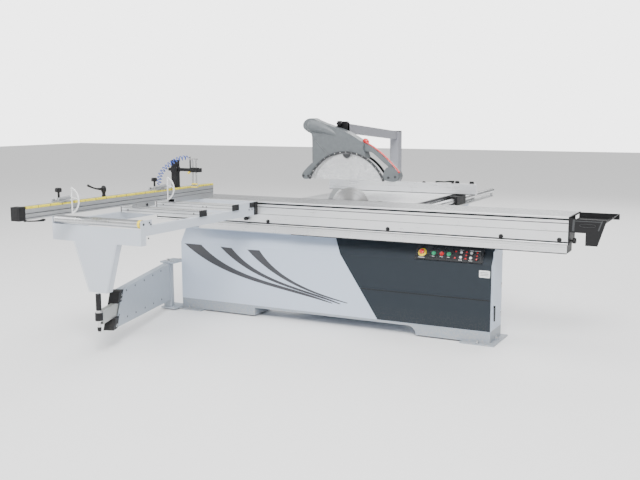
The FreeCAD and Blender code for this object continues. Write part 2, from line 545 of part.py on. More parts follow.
def build_fence():
    """Crosscut fence with its extension, flip stops, lever and clamp."""
    side = ("-fence_x - fence_half", "-fence_x + fence_half")
    high = ("fence_low", "fence_high")
    main = tube("FenceProfile", "xz", side, high, "fence_wall", "-fence_outer", "-fence_inner")
    base = tube("FenceBase", "xz", side, ("table_height + fence_clear", "fence_low"),
                "fence_wall", "-fence_base_end", "-fence_inner")
    keep(group("crosscut_fence", main, base))
    play = "(fence_wall + extension_fit)"
    inner_side = (f"{side[0]} + {play}", f"{side[1]} - {play}")
    inner_high = (f"fence_low + {play}", f"fence_high - {play}")
    stem = tube("ExtensionTube", "xz", inner_side, inner_high, "fence_wall",
                "-fence_outer - running_gap", "-extension_inner")
    cap = box("ExtensionCap", (f"{side[0]} - cap_over", f"{side[1]} + cap_over"),
              ("-fence_outer - cap_long", "-fence_outer - running_gap"),
              ("fence_low - cap_over", "fence_high + cap_over"))
    keep(fuse("fence_extension", stem, cap))

    blocks = []
    block_top = "fence_high + stop_block_high"
    pin_z = "pivot_z"
    for name in ("stop_outer_y", "stop_inner_y"):
        middle = f"-{name}"
        long = (f"{middle} - stop_block_long", f"{middle} - stop_plate")
        block = box(f"Block_{name}", ("-fence_x - stop_block_out", "-fence_x + stop_block_out"),
                    long, ("fence_high", block_top))
        lug = box(f"Lug_{name}", ("-pivot_x - 10", "-pivot_x + 10"),
                  (f"{middle} - 18", f"{middle} - stop_plate"), (block_top, f"{pin_z} + 10"))
        pin = rod(f"StopPin_{name}", "y", "stop_pin", (f"{middle} - 18", f"{middle} + 4"),
                  ("-pivot_x", pin_z))
        stem = rod(f"KnobStem_{name}", "z", "clamp_rod", (block_top, f"{block_top} + 40"),
                   ("-fence_x", f"{middle} - 108"))
        grip = box(f"KnobGrip_{name}", ("-fence_x - 8", "-fence_x + 8"),
                   (f"{middle} - 136", f"{middle} - 80"), (f"{block_top} + 40", f"{block_top} + 62"))
        blocks.append(fuse(f"StopBlock_{name}", block, lug, pin, stem, grip))
        outer = rod(f"Disc_{name}", "y", "arc_outer", (f"{middle} - stop_plate / 2", f"{middle} + stop_plate / 2"),
                    ("-arc_x", "arc_z"))
        half = box(f"Half_{name}", ("-chord_x", "-chord_x + 2 * arc_outer"),
                   (f"{middle} - stop_plate", f"{middle} + stop_plate"),
                   ("arc_z - 2 * arc_outer", "arc_z + 2 * arc_outer"))
        window = rod(f"Window_{name}", "y", "arc_inner",
                     (f"{middle} - stop_plate", f"{middle} + stop_plate"), ("-arc_x", "arc_z"))
        opened = box(f"Opened_{name}", ("-chord_x + 8", "-chord_x + 2 * arc_outer"),
                     (f"{middle} - stop_plate", f"{middle} + stop_plate"),
                     ("arc_z - 2 * arc_outer", "arc_z + 2 * arc_outer"))
        arc = cut(f"Arc_{name}", common(f"Blank_{name}", outer, half),
                  common(f"Opening_{name}", window, opened))
        tab = box(f"Tab_{name}", ("-pivot_x - 10", "-chord_x + 4"),
                  (f"{middle} - stop_plate / 2", f"{middle} + stop_plate / 2"),
                  (f"{pin_z} - 8", f"{pin_z} + 8"))
        hole = rod(f"StopHole_{name}", "y", "stop_pin + turning_gap",
                   (f"{middle} - stop_plate", f"{middle} + stop_plate"), ("-pivot_x", pin_z))
        label = "flip_stop_outer" if name == "stop_outer_y" else "flip_stop_inner"
        keep(cut(label, fuse(f"Flip_{name}", arc, tab), hole))
    keep(group("stop_blocks", *blocks))

    hub = rod("LeverHub", "z", "lever_radius", ("fence_high", "fence_high + lever_rise"),
              ("-fence_x", "-lever_y"))
    handle = prism("LeverHandle", "yz", [[
        ("-lever_y", "fence_high + lever_rise - 16"), ("-lever_y", "fence_high + lever_rise"),
        ("-lever_y - lever_long", "fence_high + lever_rise + 26"),
        ("-lever_y - lever_long", "fence_high + lever_rise + 10")]],
        "-fence_x - lever_grip", "-fence_x + lever_grip")
    keep(fuse("index_lever", hub, handle))


def build_clamp():
    """Air clamp: column and arm on the fence, and the pair of rods that it presses down."""
    column = box("ClampColumn", ("-fence_x - column_half", "-fence_x + column_half"),
                 ("-column_y - column_half", "-column_y + column_half"), ("fence_high", "column_top"))
    arm = box("ClampArm", ("-arm_left", "-arm_right"),
              ("-column_y - arm_half", "-column_y + arm_half"), ("arm_low", "arm_high"))
    spots = ("rod_one_x", "rod_two_x")
    guides = [rod(f"RodGuide{x}", "z", "clamp_rod + turning_gap", ("arm_low - 1", "arm_high + 1"),
                  (f"-{x}", "-column_y")) for x in spots]
    pipe = rod("AirPipe", "z", "pipe_radius", ("arm_high", "pipe_top"), ("-pipe_x", "-column_y"))
    valve = box("AirValve", ("-valve_x - valve_half", "-fence_x - fence_half"),
                ("-valve_y - valve_half", "-valve_y + valve_half"), ("valve_low", "valve_high"))
    nipple = rod("AirNipple", "z", "nipple_radius", ("valve_high", "hose_start"),
                 ("-valve_x", "-valve_y"))
    holder = cut("ClampArmBored", fuse("ClampHolder", column, arm, pipe), *guides)
    keep(group("clamp_column", holder, fuse("AirInlet", valve, nipple)))
    rods = [rod(f"ClampRod{x}", "z", "clamp_rod", ("clamp_foot", "clamp_top"), (f"-{x}", "-column_y"))
            for x in spots]
    wide = ("-rod_one_x - 10", "-rod_two_x + 10")
    foot = box("ClampFoot", wide, ("-column_y - 10", "-column_y + 10"),
               ("clamp_foot", "clamp_foot + foot_high"))
    bridge = box("ClampBridge", wide, ("-column_y - 9", "-column_y + 9"), ("clamp_top - 8", "clamp_top"))
    keep(fuse("clamp_rods", *rods, foot, bridge))


# The air hose's route, in millimetres, from the valve on the fence to the clamp's pipe.
HOSE_ROUTE = [(-1085, -618, 1028), (-1085, -618, 1088), (-1058, -592, 1148), (-1008, -556, 1196),
              (-956, -522, 1226), (-902, -502, 1228)]


def build_hose():
    """Outer shape of the curly air hose: straight runs joined by tangent arcs."""
    spots = [FreeCAD.Vector(*spot) for spot in HOSE_ROUTE]
    edges = []
    start = spots[0]
    length = 0
    for before, here, after in zip(spots, spots[1:], spots[2:]):
        into = (here - before).normalize()
        out = (after - here).normalize()
        half = into.getAngle(out) / 2
        back = 0.45 * min(here.distanceToPoint(before), here.distanceToPoint(after))
        radius = back / math.tan(half)
        first = here - into * back
        last = here + out * back
        centre = here + (out - into).normalize() * (radius / math.cos(half))
        middle = centre + (here - centre).normalize() * radius
        edges.append(Part.LineSegment(start, first).toShape())
        edges.append(Part.Arc(first, middle, last).toShape())
        length += start.distanceToPoint(first) + 2 * radius * half
        start = last
        print(f"hose bend radius {radius:.0f} mm")
    edges.append(Part.LineSegment(start, spots[-1]).toShape())
    length += start.distanceToPoint(spots[-1])
    path = Part.Wire(edges)
    radius = number("hose_radius")
    ring = Part.Wire(Part.makeCircle(radius, spots[0], spots[1] - spots[0]))
    item = doc.addObject("Part::Feature", "air_hose")
    item.Shape = path.makePipeShell([ring], True, False)
    print(f"hose {length:.0f} mm, volume share {item.Shape.Volume / (math.pi * radius**2 * length):.4f}")
    keep(item)


def turned(item):
    """Turn a swing-arm piece, drawn along +X at its hinge, to where the arm stands."""
    item.Placement = FreeCAD.Placement(FreeCAD.Vector(), FreeCAD.Rotation(FreeCAD.Vector(0, 0, -1), 1))
    item.setExpression("Placement.Rotation.Angle", bound("arm_turn"))
    return place(item, "-hinge_x", "-hinge_y", "0")


def build_swing_arm():
    """Hinge brackets and pin, the arm's hollow box, the inner arm and its head."""
    reach = ("-hinge_x - bracket_half", BASE_LEFT)
    wide = ("-hinge_y - bracket_half", "-base_half / 2")
    lower = ("bracket_low", "bracket_low + bracket_thick")
    upper = ("bracket_top - bracket_thick", "bracket_top")
    plates = [box(f"Bracket{name}", reach, wide, heights)
              for name, heights in {"Lower": lower, "Upper": upper}.items()]
    pin = rod("HingePin", "z", "hinge_pin", (lower[1], upper[0]), ("-hinge_x", "-hinge_y"))
    keep(fuse("hinge_bracket", *plates, pin))

    ends = (f"{lower[1]} + hinge_play", f"{upper[0]} - hinge_play")
    block = box("HingeBlock", ("-hinge_half", "hinge_half"), ("-hinge_half", "hinge_half"), ends)
    bore = rod("HingeBore", "z", "hinge_pin + turning_gap", (lower[0], upper[1]), ("0", "0"))
    barrel = cut("HingeBarrel", block, bore)

    skin_outline = [("arm_start", "arm_root_low"), ("arm_end_low", "arm_tip_low"),
                    ("arm_end_top", "arm_top"), ("arm_start", "arm_top")]
    wall = "arm_wall"
    core_outline = [(f"arm_start + {wall}", f"arm_root_low + {wall}"),
                    ("arm_end_low + 9", f"arm_tip_low + {wall}"),
                    ("arm_end_top + 9", f"arm_top - {wall}"), (f"arm_start + {wall}", f"arm_top - {wall}")]
    half = "arm_thick / 2"
    outer = prism("ArmSkin", "xz", [skin_outline], f"-({half})", half)
    core = prism("ArmCore", "xz", [core_outline], f"-({half}) + {wall}", f"{half} - {wall}")
    guides = []
    for name, low in {"Lower": f"inner_low - slide_fit - 8", "Upper": "inner_high + slide_fit"}.items():
        guides.append(box(f"ArmGuide{name}", ("arm_start + 400", "arm_end_top - 20"),
                          (f"-({half}) + {wall}", f"{half} - {wall}"), (low, f"{low} + 8")))
    box_part = fuse("ArmBoxWhole", cut("ArmBoxShell", outer, core), *guides)
    keep(turned(group("arm_box", barrel, box_part)))

    cap_outline = [("arm_end_low", "arm_tip_low"), ("arm_end_low + cap_wide", "arm_tip_low"),
                   ("arm_end_top + cap_wide", "arm_top"), ("arm_end_top", "arm_top")]
    cap = prism("CapBlank", "xz", [cap_outline], "-cap_thick / 2", "cap_thick / 2")
    way = box("CapWay", ("arm_end_top - 1", "inner_end"),
              ("-inner_thick / 2 - slide_fit", "cap_thick"),
              ("inner_low - slide_fit", "inner_high + slide_fit"))
    keep(turned(group("arm_end_bracket", cut("CapCut", cap, way))))

    thick = ("-inner_thick / 2", "inner_thick / 2")
    bar = tube("InnerTube", "yz", thick, ("inner_low", "inner_high"), wall, "inner_start", "inner_end")
    round_end = rod("InnerRound", "z", "knuckle_radius", ("inner_low - 1", "inner_high + 1"),
                    ("head_s", "0"))
    keep(turned(group("inner_arm", cut("InnerCut", bar, round_end))))
    at = ("head_s", "0")
    pieces = [rod("Knuckle", "z", "knuckle_radius", ("knuckle_low", "knuckle_high"), at),
              rod("HeadColumn", "z", "column_radius", ("knuckle_high + washer", "head_top"), at),
              rod("HeadTip", "z", "tip_radius", ("tip_low", "knuckle_low - washer"), at)]
    pieces += [rod(f"Washer{low}", "z", "washer_radius", (low, f"{low} + washer"), at)
               for low in ("knuckle_high", "knuckle_low - washer")]
    keep(turned(group("arm_head", fuse("ArmHeadFused", *pieces))))


def build_cabinet():
    """Saw cabinet behind the base, open to the bay and at its top, with a dust spigot."""
    x = ("-cabinet_left", "cabinet_right")
    y = ("base_half", "cabinet_back")
    top = "table_height - table_deep"
    wall = "cabinet_wall"
    blank = box("CabinetBlank", x, y, ("cabinet_low", top))
    inside = box("CabinetInside", (f"{x[0]} + {wall}", f"{x[1]} - {wall}"),
                 (f"{y[0]} + {wall}", f"{y[1]} - {wall}"), (f"cabinet_low + {wall}", f"{top} + 1"))
    bay = box("CabinetBay", ("-bay_left", "bay_right"), (f"{y[0]} - 1", f"{y[0]} + 2 * {wall}"),
              ("plinth_height + sheet", f"{top} + 1"))
    at = ("spigot_x", "spigot_z")
    hole = rod("SpigotHole", "y", "spigot_radius - spigot_wall",
               (f"{y[1]} - 2 * {wall}", f"{y[1]} + spigot_long + 1"), at)
    spigot = rod("Spigot", "y", "spigot_radius", (y[1], f"{y[1]} + spigot_long"), at)
    shell = cut("CabinetShell", blank, inside, bay)
    keep(cut("saw_cabinet", fuse("CabinetWithSpigot", shell, spigot), hole))


def build_tables():
    """Ribbed main table with its insert, and the extension table on struts."""
    top = "table_height"
    x = ("-table_left", "table_right")
    y = ("table_front", "table_back")
    plate = box("TableBlank", x, y, (f"{top} - table_deep", top))
    rim = "table_rim"
    under = box("TableUnder", (f"{x[0]} + {rim}", f"{x[1]} - {rim}"), (f"{y[0]} + {rim}", f"{y[1]} - {rim}"),
                (f"{top} - table_deep - 1", f"{top} - table_plate"))
    notch = box("TableNotch", ("-notch_left", "notch_right"), (f"{y[0]} - 1", "notch_back"),
                (f"{top} - table_deep - 1", f"{top} + 1"))
    ledge = box("InsertLedge", ("-notch_left - ledge_wide", "notch_right + ledge_wide"),
                ("notch_back - ledge_wide / 2", "notch_back + ledge_wide / 2"),
                (f"{top} - table_plate - ledge_thick", f"{top} - table_plate"))
    keep(fuse("main_table", cut("TableCut", plate, under, notch), ledge))
    keep(box("table_insert", ("-notch_left", "notch_right"), ("insert_front", "notch_back"),
             (f"{top} - table_plate", top)))
    y = ("table_back", "extension_back")
    blank = box("ExtensionBlank", x, y, (f"{top} - extension_deep", top))
    plate = "extension_plate"
    under = box("ExtensionUnder", (f"{x[0]} + {plate}", f"{x[1]} - {plate}"),
                (f"{y[0]} + {plate}", f"{y[1]} - {plate}"),
                (f"{top} - extension_deep - 1", f"{top} - {plate}"))
    keep(cut("extension_table", blank, under))
    low = f"{top} - extension_deep"
    struts = [prism(f"Strut{i}", "yz", [[
        ("cabinet_back", "strut_low"), ("cabinet_back", "table_height - table_deep"),
        ("table_back", "table_height - table_deep"), ("table_back", low),
        (y[1], low), (y[1], "strut_end")]], x_low, f"{x_low} + strut_thick")
        for i, x_low in enumerate(("-cabinet_left", "-post_x", "cabinet_right - strut_thick"))]
    keep(group("extension_struts", *struts))


def build_guide():
    """Rip fence's round guide bar on its posts, and the casting and profile that ride on it."""
    bar = rod("GuideRound", "y", "bar_radius", ("bar_start", "bar_end"), ("bar_x", "bar_z"))
    ledge = box("GuideLedge", ("ledge_left", "ledge_right"), ("bar_start", "bar_end"),
                ("ledge_low", "ledge_high"))
    arm = box("GuideArm", ("ledge_left", "ledge_left + 6"), ("bar_start", "extension_back"),
              ("ledge_high", "table_height - extension_deep + 20"))
    posts = [box(f"GuidePost{i}", ("bar_x - post_half / 2", "bar_x + post_half / 2"), (low, f"{low} + 40"),
                 ("ledge_high", "bar_z - bar_radius + 4"))
             for i, low in enumerate(("bar_start", "(bar_start + bar_end) / 2", "bar_end - 40"))]
    keep(fuse("guide_bar", bar, ledge, arm, *posts))
    y = ("casting_front", "casting_back")
    block = box("CastingBlock", ("bar_x - casting_half", "bar_x + casting_half"), y,
                ("casting_low", "casting_high"))
    long = (f"{y[0]} - 1", f"{y[1]} + 1")
    bore = rod("CastingBore", "y", "bar_radius + turning_gap", long, ("bar_x", "bar_z"))
    slot = box("CastingSlot", ("bar_x - casting_slot", "bar_x + casting_slot"), long,
               ("casting_low - 1", "bar_z"))
    body = cut("CastingCut", block, bore, slot)
    head = box("CastingHead", ("head_left", "head_right"), ("rip_back", "rip_back + head_thick"),
               ("rip_low", "rip_high - 8"))
    web = box("CastingWeb", ("bar_x - casting_half", "bar_x + casting_half"),
              ("rip_back", "casting_back"), ("casting_high", "rip_low + 20"))
    knobs = [rod(f"RipKnob{i}", "z", "rip_knob", ("rip_high - 8", "rip_high - 8 + rip_knob_high"),
                 (x, "rip_back + rip_knob + running_gap"))
             for i, x in enumerate(("head_left + 30", "head_right - 30"))]
    shelf = box("CastingShelf", ("head_left", "head_right"), ("rip_back", "casting_back"),
                ("rip_high - 16", "rip_high - 8"))
    keep(fuse("rip_fence_casting", body, head, web, shelf, *knobs))
    keep(tube("rip_fence_profile", "yz", ("rip_front", "rip_back - running_gap"), ("rip_low", "rip_high"),
              "rip_wall", "-rip_left", "rip_right"))


def sector(name, radius, angles, low, high):
    """A ring-sector tool's wedge seen along X about the tilt axis: three corners and the centre."""
    centre = ("blade_y", "table_height")
    spots = [centre]
    first, last = angles
    middle = (first + last) / 2
    for angle in (first, middle, last):
        far = f"({radius}) / cos({(last - first) / 4})"
        spots.append((f"blade_y + {far} * cos({angle})", f"table_height + {far} * sin({angle})"))
    return prism(name, "yz", [spots], low, high)


def build_tilt():
    """Trunnion tracks under the table, and the tilting frame with its slotted cheeks."""
    centre = ("blade_y", "table_height")
    cheeks = []
    webs = []
    for name, low, web_low in (
            ("Left", "-cheek_left", "-cheek_left - bracket_plate - running_gap"),
            ("Right", "cheek_right - cheek_thick", "cheek_right + running_gap")):
        span = (low, f"{low} + cheek_thick")
        ring = cut(f"CheekRing{name}", rod(f"CheekOut{name}", "x", "cheek_out", span, centre),
                   rod(f"CheekIn{name}", "x", "cheek_in", span, centre))
        cheek = common(f"Cheek{name}", ring, sector(f"CheekWedge{name}", "cheek_out + 5", (-120, -12), *span))
        leg = box(f"CheekLeg{name}", span, ("frame_front", "frame_back"), ("frame_low", "table_height - cheek_in"))
        slot = cut(f"SlotRing{name}", rod(f"SlotOut{name}", "x", "arc_slot_out", span, centre),
                   rod(f"SlotIn{name}", "x", "arc_slot_in", span, centre))
        slot = common(f"Slot{name}", slot, sector(f"SlotWedge{name}", "arc_slot_out + 5", (-113, -20), *span))
        cheeks.append(cut(f"CheekDone{name}", fuse(f"CheekWhole{name}", cheek, leg), slot))
        web_span = (web_low, f"{web_low} + bracket_plate")
        top = "table_height - table_plate"
        rim = "table_height - table_deep"
        web = prism(f"Web{name}", "yz", [[
            ("table_front + table_rim", top), ("table_front + table_rim", rim),
            ("bracket_step", rim), ("bracket_step", "bracket_down"),
            ("bracket_wide", "bracket_down"), ("bracket_wide", top)]], *web_span)
        pins = []
        for i, angle in enumerate((-98, -75)):
            ends = ((web_span[1], span[1]) if name == "Left" else (span[0], web_span[0]))
            pins.append(rod(f"TrackPin{name}{i}", "x", "track_pin", ends,
                            (f"blade_y + track_radius * cos({angle})",
                             f"table_height + track_radius * sin({angle})")))
        webs.append(fuse(f"WebDone{name}", web, *pins))
    keep(group("trunnion_brackets", *webs))
    plate = box("FramePlate", ("-cheek_left + cheek_thick", "cheek_right - cheek_thick"),
                ("frame_front", "frame_back"), ("frame_low", "frame_high"))
    way = box("FrameWay", ("blade_x - housing_half - housing_slot", "blade_x + housing_half + housing_slot"),
              ("frame_front - 1", "frame_back + 1"),
              (f"{BLADE_Z} - housing_high - 106", "frame_high + 1"))
    shaft_way = rod("ScoringWay", "y", "scoring_shaft + turning_gap",
                    ("housing_front - 5", "frame_back + 1"), ("scoring_x", SCORING_Z))
    house = box("ScoringHouse", ("scoring_x - scoring_house", "scoring_x + scoring_house"),
                ("housing_front - 4", "frame_front"),
                (f"{SCORING_Z} - scoring_house", f"{SCORING_Z} + scoring_house"))
    frame = cut("TiltFrameCut", fuse("TiltFrameWhole", plate, *cheeks, house), way, shaft_way)
    small_motor = rod("ScoringMotor", "y", "scoring_motor", ("frame_back", "scoring_back"),
                      ("scoring_x", SCORING_Z))
    keep(group("tilt_frame", frame, small_motor))
    disc = rod("ScoringDisc", "y", "scoring_radius", ("blade_y - scoring_half", "blade_y + scoring_half"),
               ("scoring_x", SCORING_Z))
    shaft = rod("ScoringShaft", "y", "scoring_shaft", ("blade_y - 9", "frame_back - running_gap"),
                ("scoring_x", SCORING_Z))
    keep(fuse("scoring_blade", disc, shaft))


def build_arbor():
    """Height slide with the arbor housing, motor, belt and riving knife, and what turns in it."""
    at = ("blade_x", BLADE_Z)
    x = ("blade_x - housing_half", "blade_x + housing_half")
    z = (f"{BLADE_Z} - housing_high", f"{BLADE_Z} + housing_high")
    gap = "running_gap"
    block = box("HousingBlock", x, ("housing_front", "pulley_front - 2"), z)
    y = (f"frame_back + {gap}", "slide_back")
    lower = box("SlideLower", ("slide_left", "slide_right"), y, ("slide_low", "slide_step"))
    upper = box("SlideUpper", ("slide_left", "slide_neck"), y, ("slide_step", "slide_top"))
    mount = box("MotorMount", ("mount_left", "slide_right"), ("slide_back", "motor_front"),
                ("mount_low", "mount_high"))
    blade_face = "blade_y + blade_half"
    knife_arm = box("KnifeArm", ("-knife_arm_left", x[0]),
                    (f"{blade_face} + arm_clear / 2", "housing_front + 8"),
                    ("knife_arm_low", "knife_arm_high"))
    pad = box("KnifePad", ("-knife_arm_left", "-knife_arm_left + knife_pad"),
              ("blade_y + knife_half", f"{blade_face} + arm_clear / 2"), ("knife_arm_low", "knife_arm_high"))
    foot = box("KnifeFoot", ("blade_x - housing_half - 4", f"{x[0]} + 4"), ("housing_front", "housing_front + 8"),
               ("knife_arm_low", "knife_arm_high"))
    bore = rod("ArborBore", "y", "arbor_radius + turning_gap", ("housing_front - 20", "pulley_back"), at)
    shaft_way = rod("MotorWay", "y", "motor_shaft + 2", ("frame_back - 1", "slide_back + 1"),
                    ("motor_x", "motor_z"))
    flange_way = rod("FlangeWay", "y", "flange_radius + 3", ("blade_y", "housing_front - 1"), at)
    keep(cut("arbor_housing", fuse("HousingWhole", block, lower, upper, mount, knife_arm, pad, foot),
             bore, shaft_way, flange_way))
    keep(rod("motor", "y", "motor_radius", ("motor_front", "motor_back"), ("motor_x", "motor_z")))
    build_belt()
    faces = ("blade_y - knife_half", "blade_y + knife_half")
    inner = f"blade_radius + knife_gap"
    outer_disc = rod("KnifeOuter", "y", f"{inner} + knife_wide", faces, at)
    inner_disc = rod("KnifeInner", "y", inner, faces, at)
    wedge = prism("KnifeWedge", "xz", [[
        ("blade_x", BLADE_Z), (f"blade_x - 1.8 * blade_radius", f"{BLADE_Z} - 45"),
        (f"blade_x - 1.8 * blade_radius", f"{BLADE_Z} + 200"),
        (f"blade_x - 0.5 * blade_radius", f"{BLADE_Z} + 0.9 * blade_radius + 120")]], *faces)
    top = box("KnifeTop", ("-2 * blade_radius", "blade_x"), faces, (f"{BLADE_Z} - 50", f"{BLADE_Z} + 146"))
    ring = cut("KnifeRing", outer_disc, inner_disc)
    keep(common("riving_knife", common("KnifeSector", ring, wedge), top))

    shaft = rod("ArborShaft", "y", "arbor_radius", ("arbor_front", "arbor_back"), at)
    flange = rod("InnerFlange", "y", "flange_radius", (blade_face, f"{blade_face} + flange_deep"), at)
    back = "blade_y - blade_half"
    outer = rod("OuterFlange", "y", "outer_flange", (f"{back} - outer_thick", back), at)
    pulley = rod("ArborPulley", "y", "arbor_pulley", ("pulley_front", "pulley_back"), at)
    keep(fuse("main_arbor", shaft, flange, outer, pulley))
    disc = rod("BladeDisc", "y", "blade_radius", (back, blade_face), at)
    keep(cut("main_blade", disc, rod("BladeBore", "y", "arbor_radius", (f"{back} - 1", f"{blade_face} + 1"), at)))
    axle = rod("MotorAxle", "y", "motor_shaft", ("slide_back - 6", f"motor_front - {gap}"), ("motor_x", "motor_z"))
    wheel = rod("MotorWheel", "y", "motor_pulley", ("pulley_front", "pulley_back"), ("motor_x", "motor_z"))
    keep(fuse("motor_pulley", axle, wheel))


def build_belt():
    """Drive belt round both pulleys: two round ends joined by the tangent runs."""
    gap = "running_gap"
    dx = "(motor_x - blade_x)"
    dz = f"(motor_z - ({BLADE_Z}))"
    span = f"sqrt({dx} * {dx} + {dz} * {dz})"
    swing = f"asin((motor_pulley - arbor_pulley) / {span})"
    aim = f"atan2({dz}; {dx})"
    loops = {}
    for name, extra in {"Outer": "running_gap + belt_thick", "Inner": "running_gap"}.items():
        grow = "0" if name == "Outer" else "1"
        y = (f"pulley_front + 2 - {grow}", f"pulley_back - 2 + {grow}")
        ends = [rod(f"Belt{name}{wheel}", "y", f"{wheel}_pulley + {extra}", y, at)
                for wheel, at in {"arbor": ("blade_x", BLADE_Z), "motor": ("motor_x", "motor_z")}.items()]
        corners = []
        for wheel, spot, order in (("arbor", ("blade_x", f"({BLADE_Z})"), (1, -1)),
                                   ("motor", ("motor_x", "motor_z"), (-1, 1))):
            for side in order:
                angle = f"({aim} + {side} * (90 deg + {swing}))"
                reach = f"({wheel}_pulley + {extra})"
                corners.append((f"{spot[0]} + {reach} * cos({angle})", f"{spot[1]} + {reach} * sin({angle})"))
        band = prism(f"Belt{name}Band", "xz", [corners], *y)
        loops[name] = fuse(f"Belt{name}", *ends, band)
    keep(cut("drive_belt", loops["Outer"], loops["Inner"]))


def build_guard():
    """Overhead blade guard: post, beam and clamp plate, with the hood and its clear sides."""
    x = ("-post_x - post_side", "-post_x + post_side")
    y = ("post_y - post_side", "post_y + post_side")
    post = tube("PostTube", "xy", x, y, "post_wall", "post_low", "post_top - beam_half_high")
    cap = box("PostCap", x, y, ("post_top - beam_half_high", "post_top - beam_half_high + 6"))
    foot = box("PostFoot", x, ("extension_back", y[0]), ("strut_end", "table_height - 2"))
    direction = ("beam_x - post_x", f"({y[0]}) - beam_start", "-beam_drop")
    sketch_body = doc.addObject("Sketcher::SketchObject", "BeamSection")
    wide = ("-beam_x - beam_half_wide", "-beam_x + beam_half_wide")
    high = ("beam_mid - beam_half_high", "beam_mid + beam_half_high")
    sketch_body.Placement = FreeCAD.Placement(FreeCAD.Vector(), FreeCAD.Rotation(FreeCAD.Vector(1, 0, 0), 90))
    outline(sketch_body, rectangle(wide, high))
    outline(sketch_body, rectangle((f"{wide[0]} + post_wall", f"{wide[1]} - post_wall"),
                                   (f"{high[0]} + post_wall", f"{high[1]} - post_wall")))
    sketch_body.setExpression("Placement.Base.y", bound("beam_start"))
    beam = doc.addObject("Part::Extrusion", "GuardBeam")
    beam.Base = sketch_body
    beam.DirMode = "Custom"
    beam.Solid = True
    for axis, text in zip("xyz", direction):
        beam.setExpression(f"Dir.{axis}", bound(text))
    beam.setExpression("LengthFwd", bound("sqrt(" + " + ".join(f"({d}) * ({d})" for d in direction) + ")"))
    neck = box("PostNeck", x, y, ("post_top - beam_half_high + 6", "post_top"))
    plate = box("hood_clamp", ("-plate_left", "plate_right"),
                ("blade_y + hood_half + running_gap", "beam_start"), ("plate_low", "plate_high"))
    keep(group("guard_post", fuse("PostWhole", post, cap, foot, neck), beam))
    keep(plate)

    side = ("blade_y - hood_half", "blade_y + hood_half")
    hood_outline = [(-318, 1052), (-345, 1076), (-256, 1186), (-256, 1404), (-312, 1421), (-327, 1456),
                    (-300, 1494), (-258, 1512), (-192, 1485), (-59, 1440), (80, 1388), (180, 1326),
                    (330, 1234), (441, 1143), (473, 1081), (415, 1052)]
    shell = prism("HoodBlank", "xz", [hood_outline], *side)
    window = prism("HoodWindow", "xz", [[(204, 1250), (380, 1150), (330, 1154), (240, 1210)]],
                   f"{side[0]} - 1", f"{side[1]} + 1")
    cavity_outline = [(-245, 1110), (-245, 1400), (-200, 1470), (-60, 1425), (76, 1378), (180, 1310),
                      (190, 1250), (230, 1190), (330, 1110), (330, 1060), (-230, 1060)]
    wall = "hood_wall"
    cavity = prism("HoodCavity", "xz", [cavity_outline], f"{side[0]} + {wall}", f"{side[1]} - {wall}")
    arch = rod("HoodArch", "y", "arch_r", (f"{side[0]} - 1", f"{side[1]} + 1"), ("arch_x", "arch_z"))
    seat = rod("GuardSeat", "y", "arch_r + guard_lap + 1",
               (f"{side[0]} + {wall}", f"{side[1]} - {wall}"), ("arch_x", "arch_z"))
    keep(cut("hood", shell, cavity, window, arch, seat))
    guards = []
    for name, low in {"Front": f"{side[0]} + {wall}", "Back": f"{side[1]} - {wall} - guard_thick"}.items():
        span = (low, f"{low} + guard_thick")
        disc = rod(f"GuardDisc{name}", "y", "arch_r + guard_lap", span, ("arch_x", "arch_z"))
        above = box(f"GuardAbove{name}", ("-230", "330"), span, ("guard_low", "arch_z + 2 * arch_r"))
        guards.append(common(f"Guard{name}", disc, above))
    keep(group("hood_guard", *guards))


build_base()
build_plinth()
build_fascia()
build_door()
build_panel()
build_rail()
build_carriage()
build_outrigger()
build_fence()
build_clamp()
build_hose()
build_swing_arm()
build_cabinet()
build_tables()
build_guide()
build_tilt()
build_arbor()
build_guard()
doc.recompute()

failed = [item.Label for item in doc.Objects if "Invalid" in item.State or "Error" in item.State]
if failed:
    raise RuntimeError(f"could not be built: {', '.join(failed)}")
broken = [item.Label for item in nodes
          if item.Shape.isNull() or not item.Shape.isValid() or not item.Shape.Solids]
if broken:
    raise RuntimeError(f"no valid solid: {', '.join(broken)}")

os.makedirs("parts", exist_ok=True)
for item in nodes:
    item.Shape.exportStep(f"parts/{item.Label}.step")
print(f"{len(nodes)} sub-parts")
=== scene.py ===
"""Looks for the sliding table panel saw: finishes for its CAD nodes, and the pieces they lack."""
import math

import bmesh
import bpy
import numpy as np
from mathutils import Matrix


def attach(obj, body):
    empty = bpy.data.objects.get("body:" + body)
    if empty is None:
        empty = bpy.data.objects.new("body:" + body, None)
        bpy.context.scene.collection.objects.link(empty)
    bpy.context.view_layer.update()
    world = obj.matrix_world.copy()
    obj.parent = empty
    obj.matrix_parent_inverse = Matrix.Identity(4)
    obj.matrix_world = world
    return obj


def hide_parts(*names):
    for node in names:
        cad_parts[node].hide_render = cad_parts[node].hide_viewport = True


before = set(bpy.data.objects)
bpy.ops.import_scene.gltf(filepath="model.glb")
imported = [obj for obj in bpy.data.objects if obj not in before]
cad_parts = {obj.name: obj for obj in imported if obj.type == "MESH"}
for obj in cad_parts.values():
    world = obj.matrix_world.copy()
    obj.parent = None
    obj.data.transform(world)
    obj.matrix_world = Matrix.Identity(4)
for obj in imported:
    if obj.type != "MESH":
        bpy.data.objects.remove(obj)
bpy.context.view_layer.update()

MM = 0.001

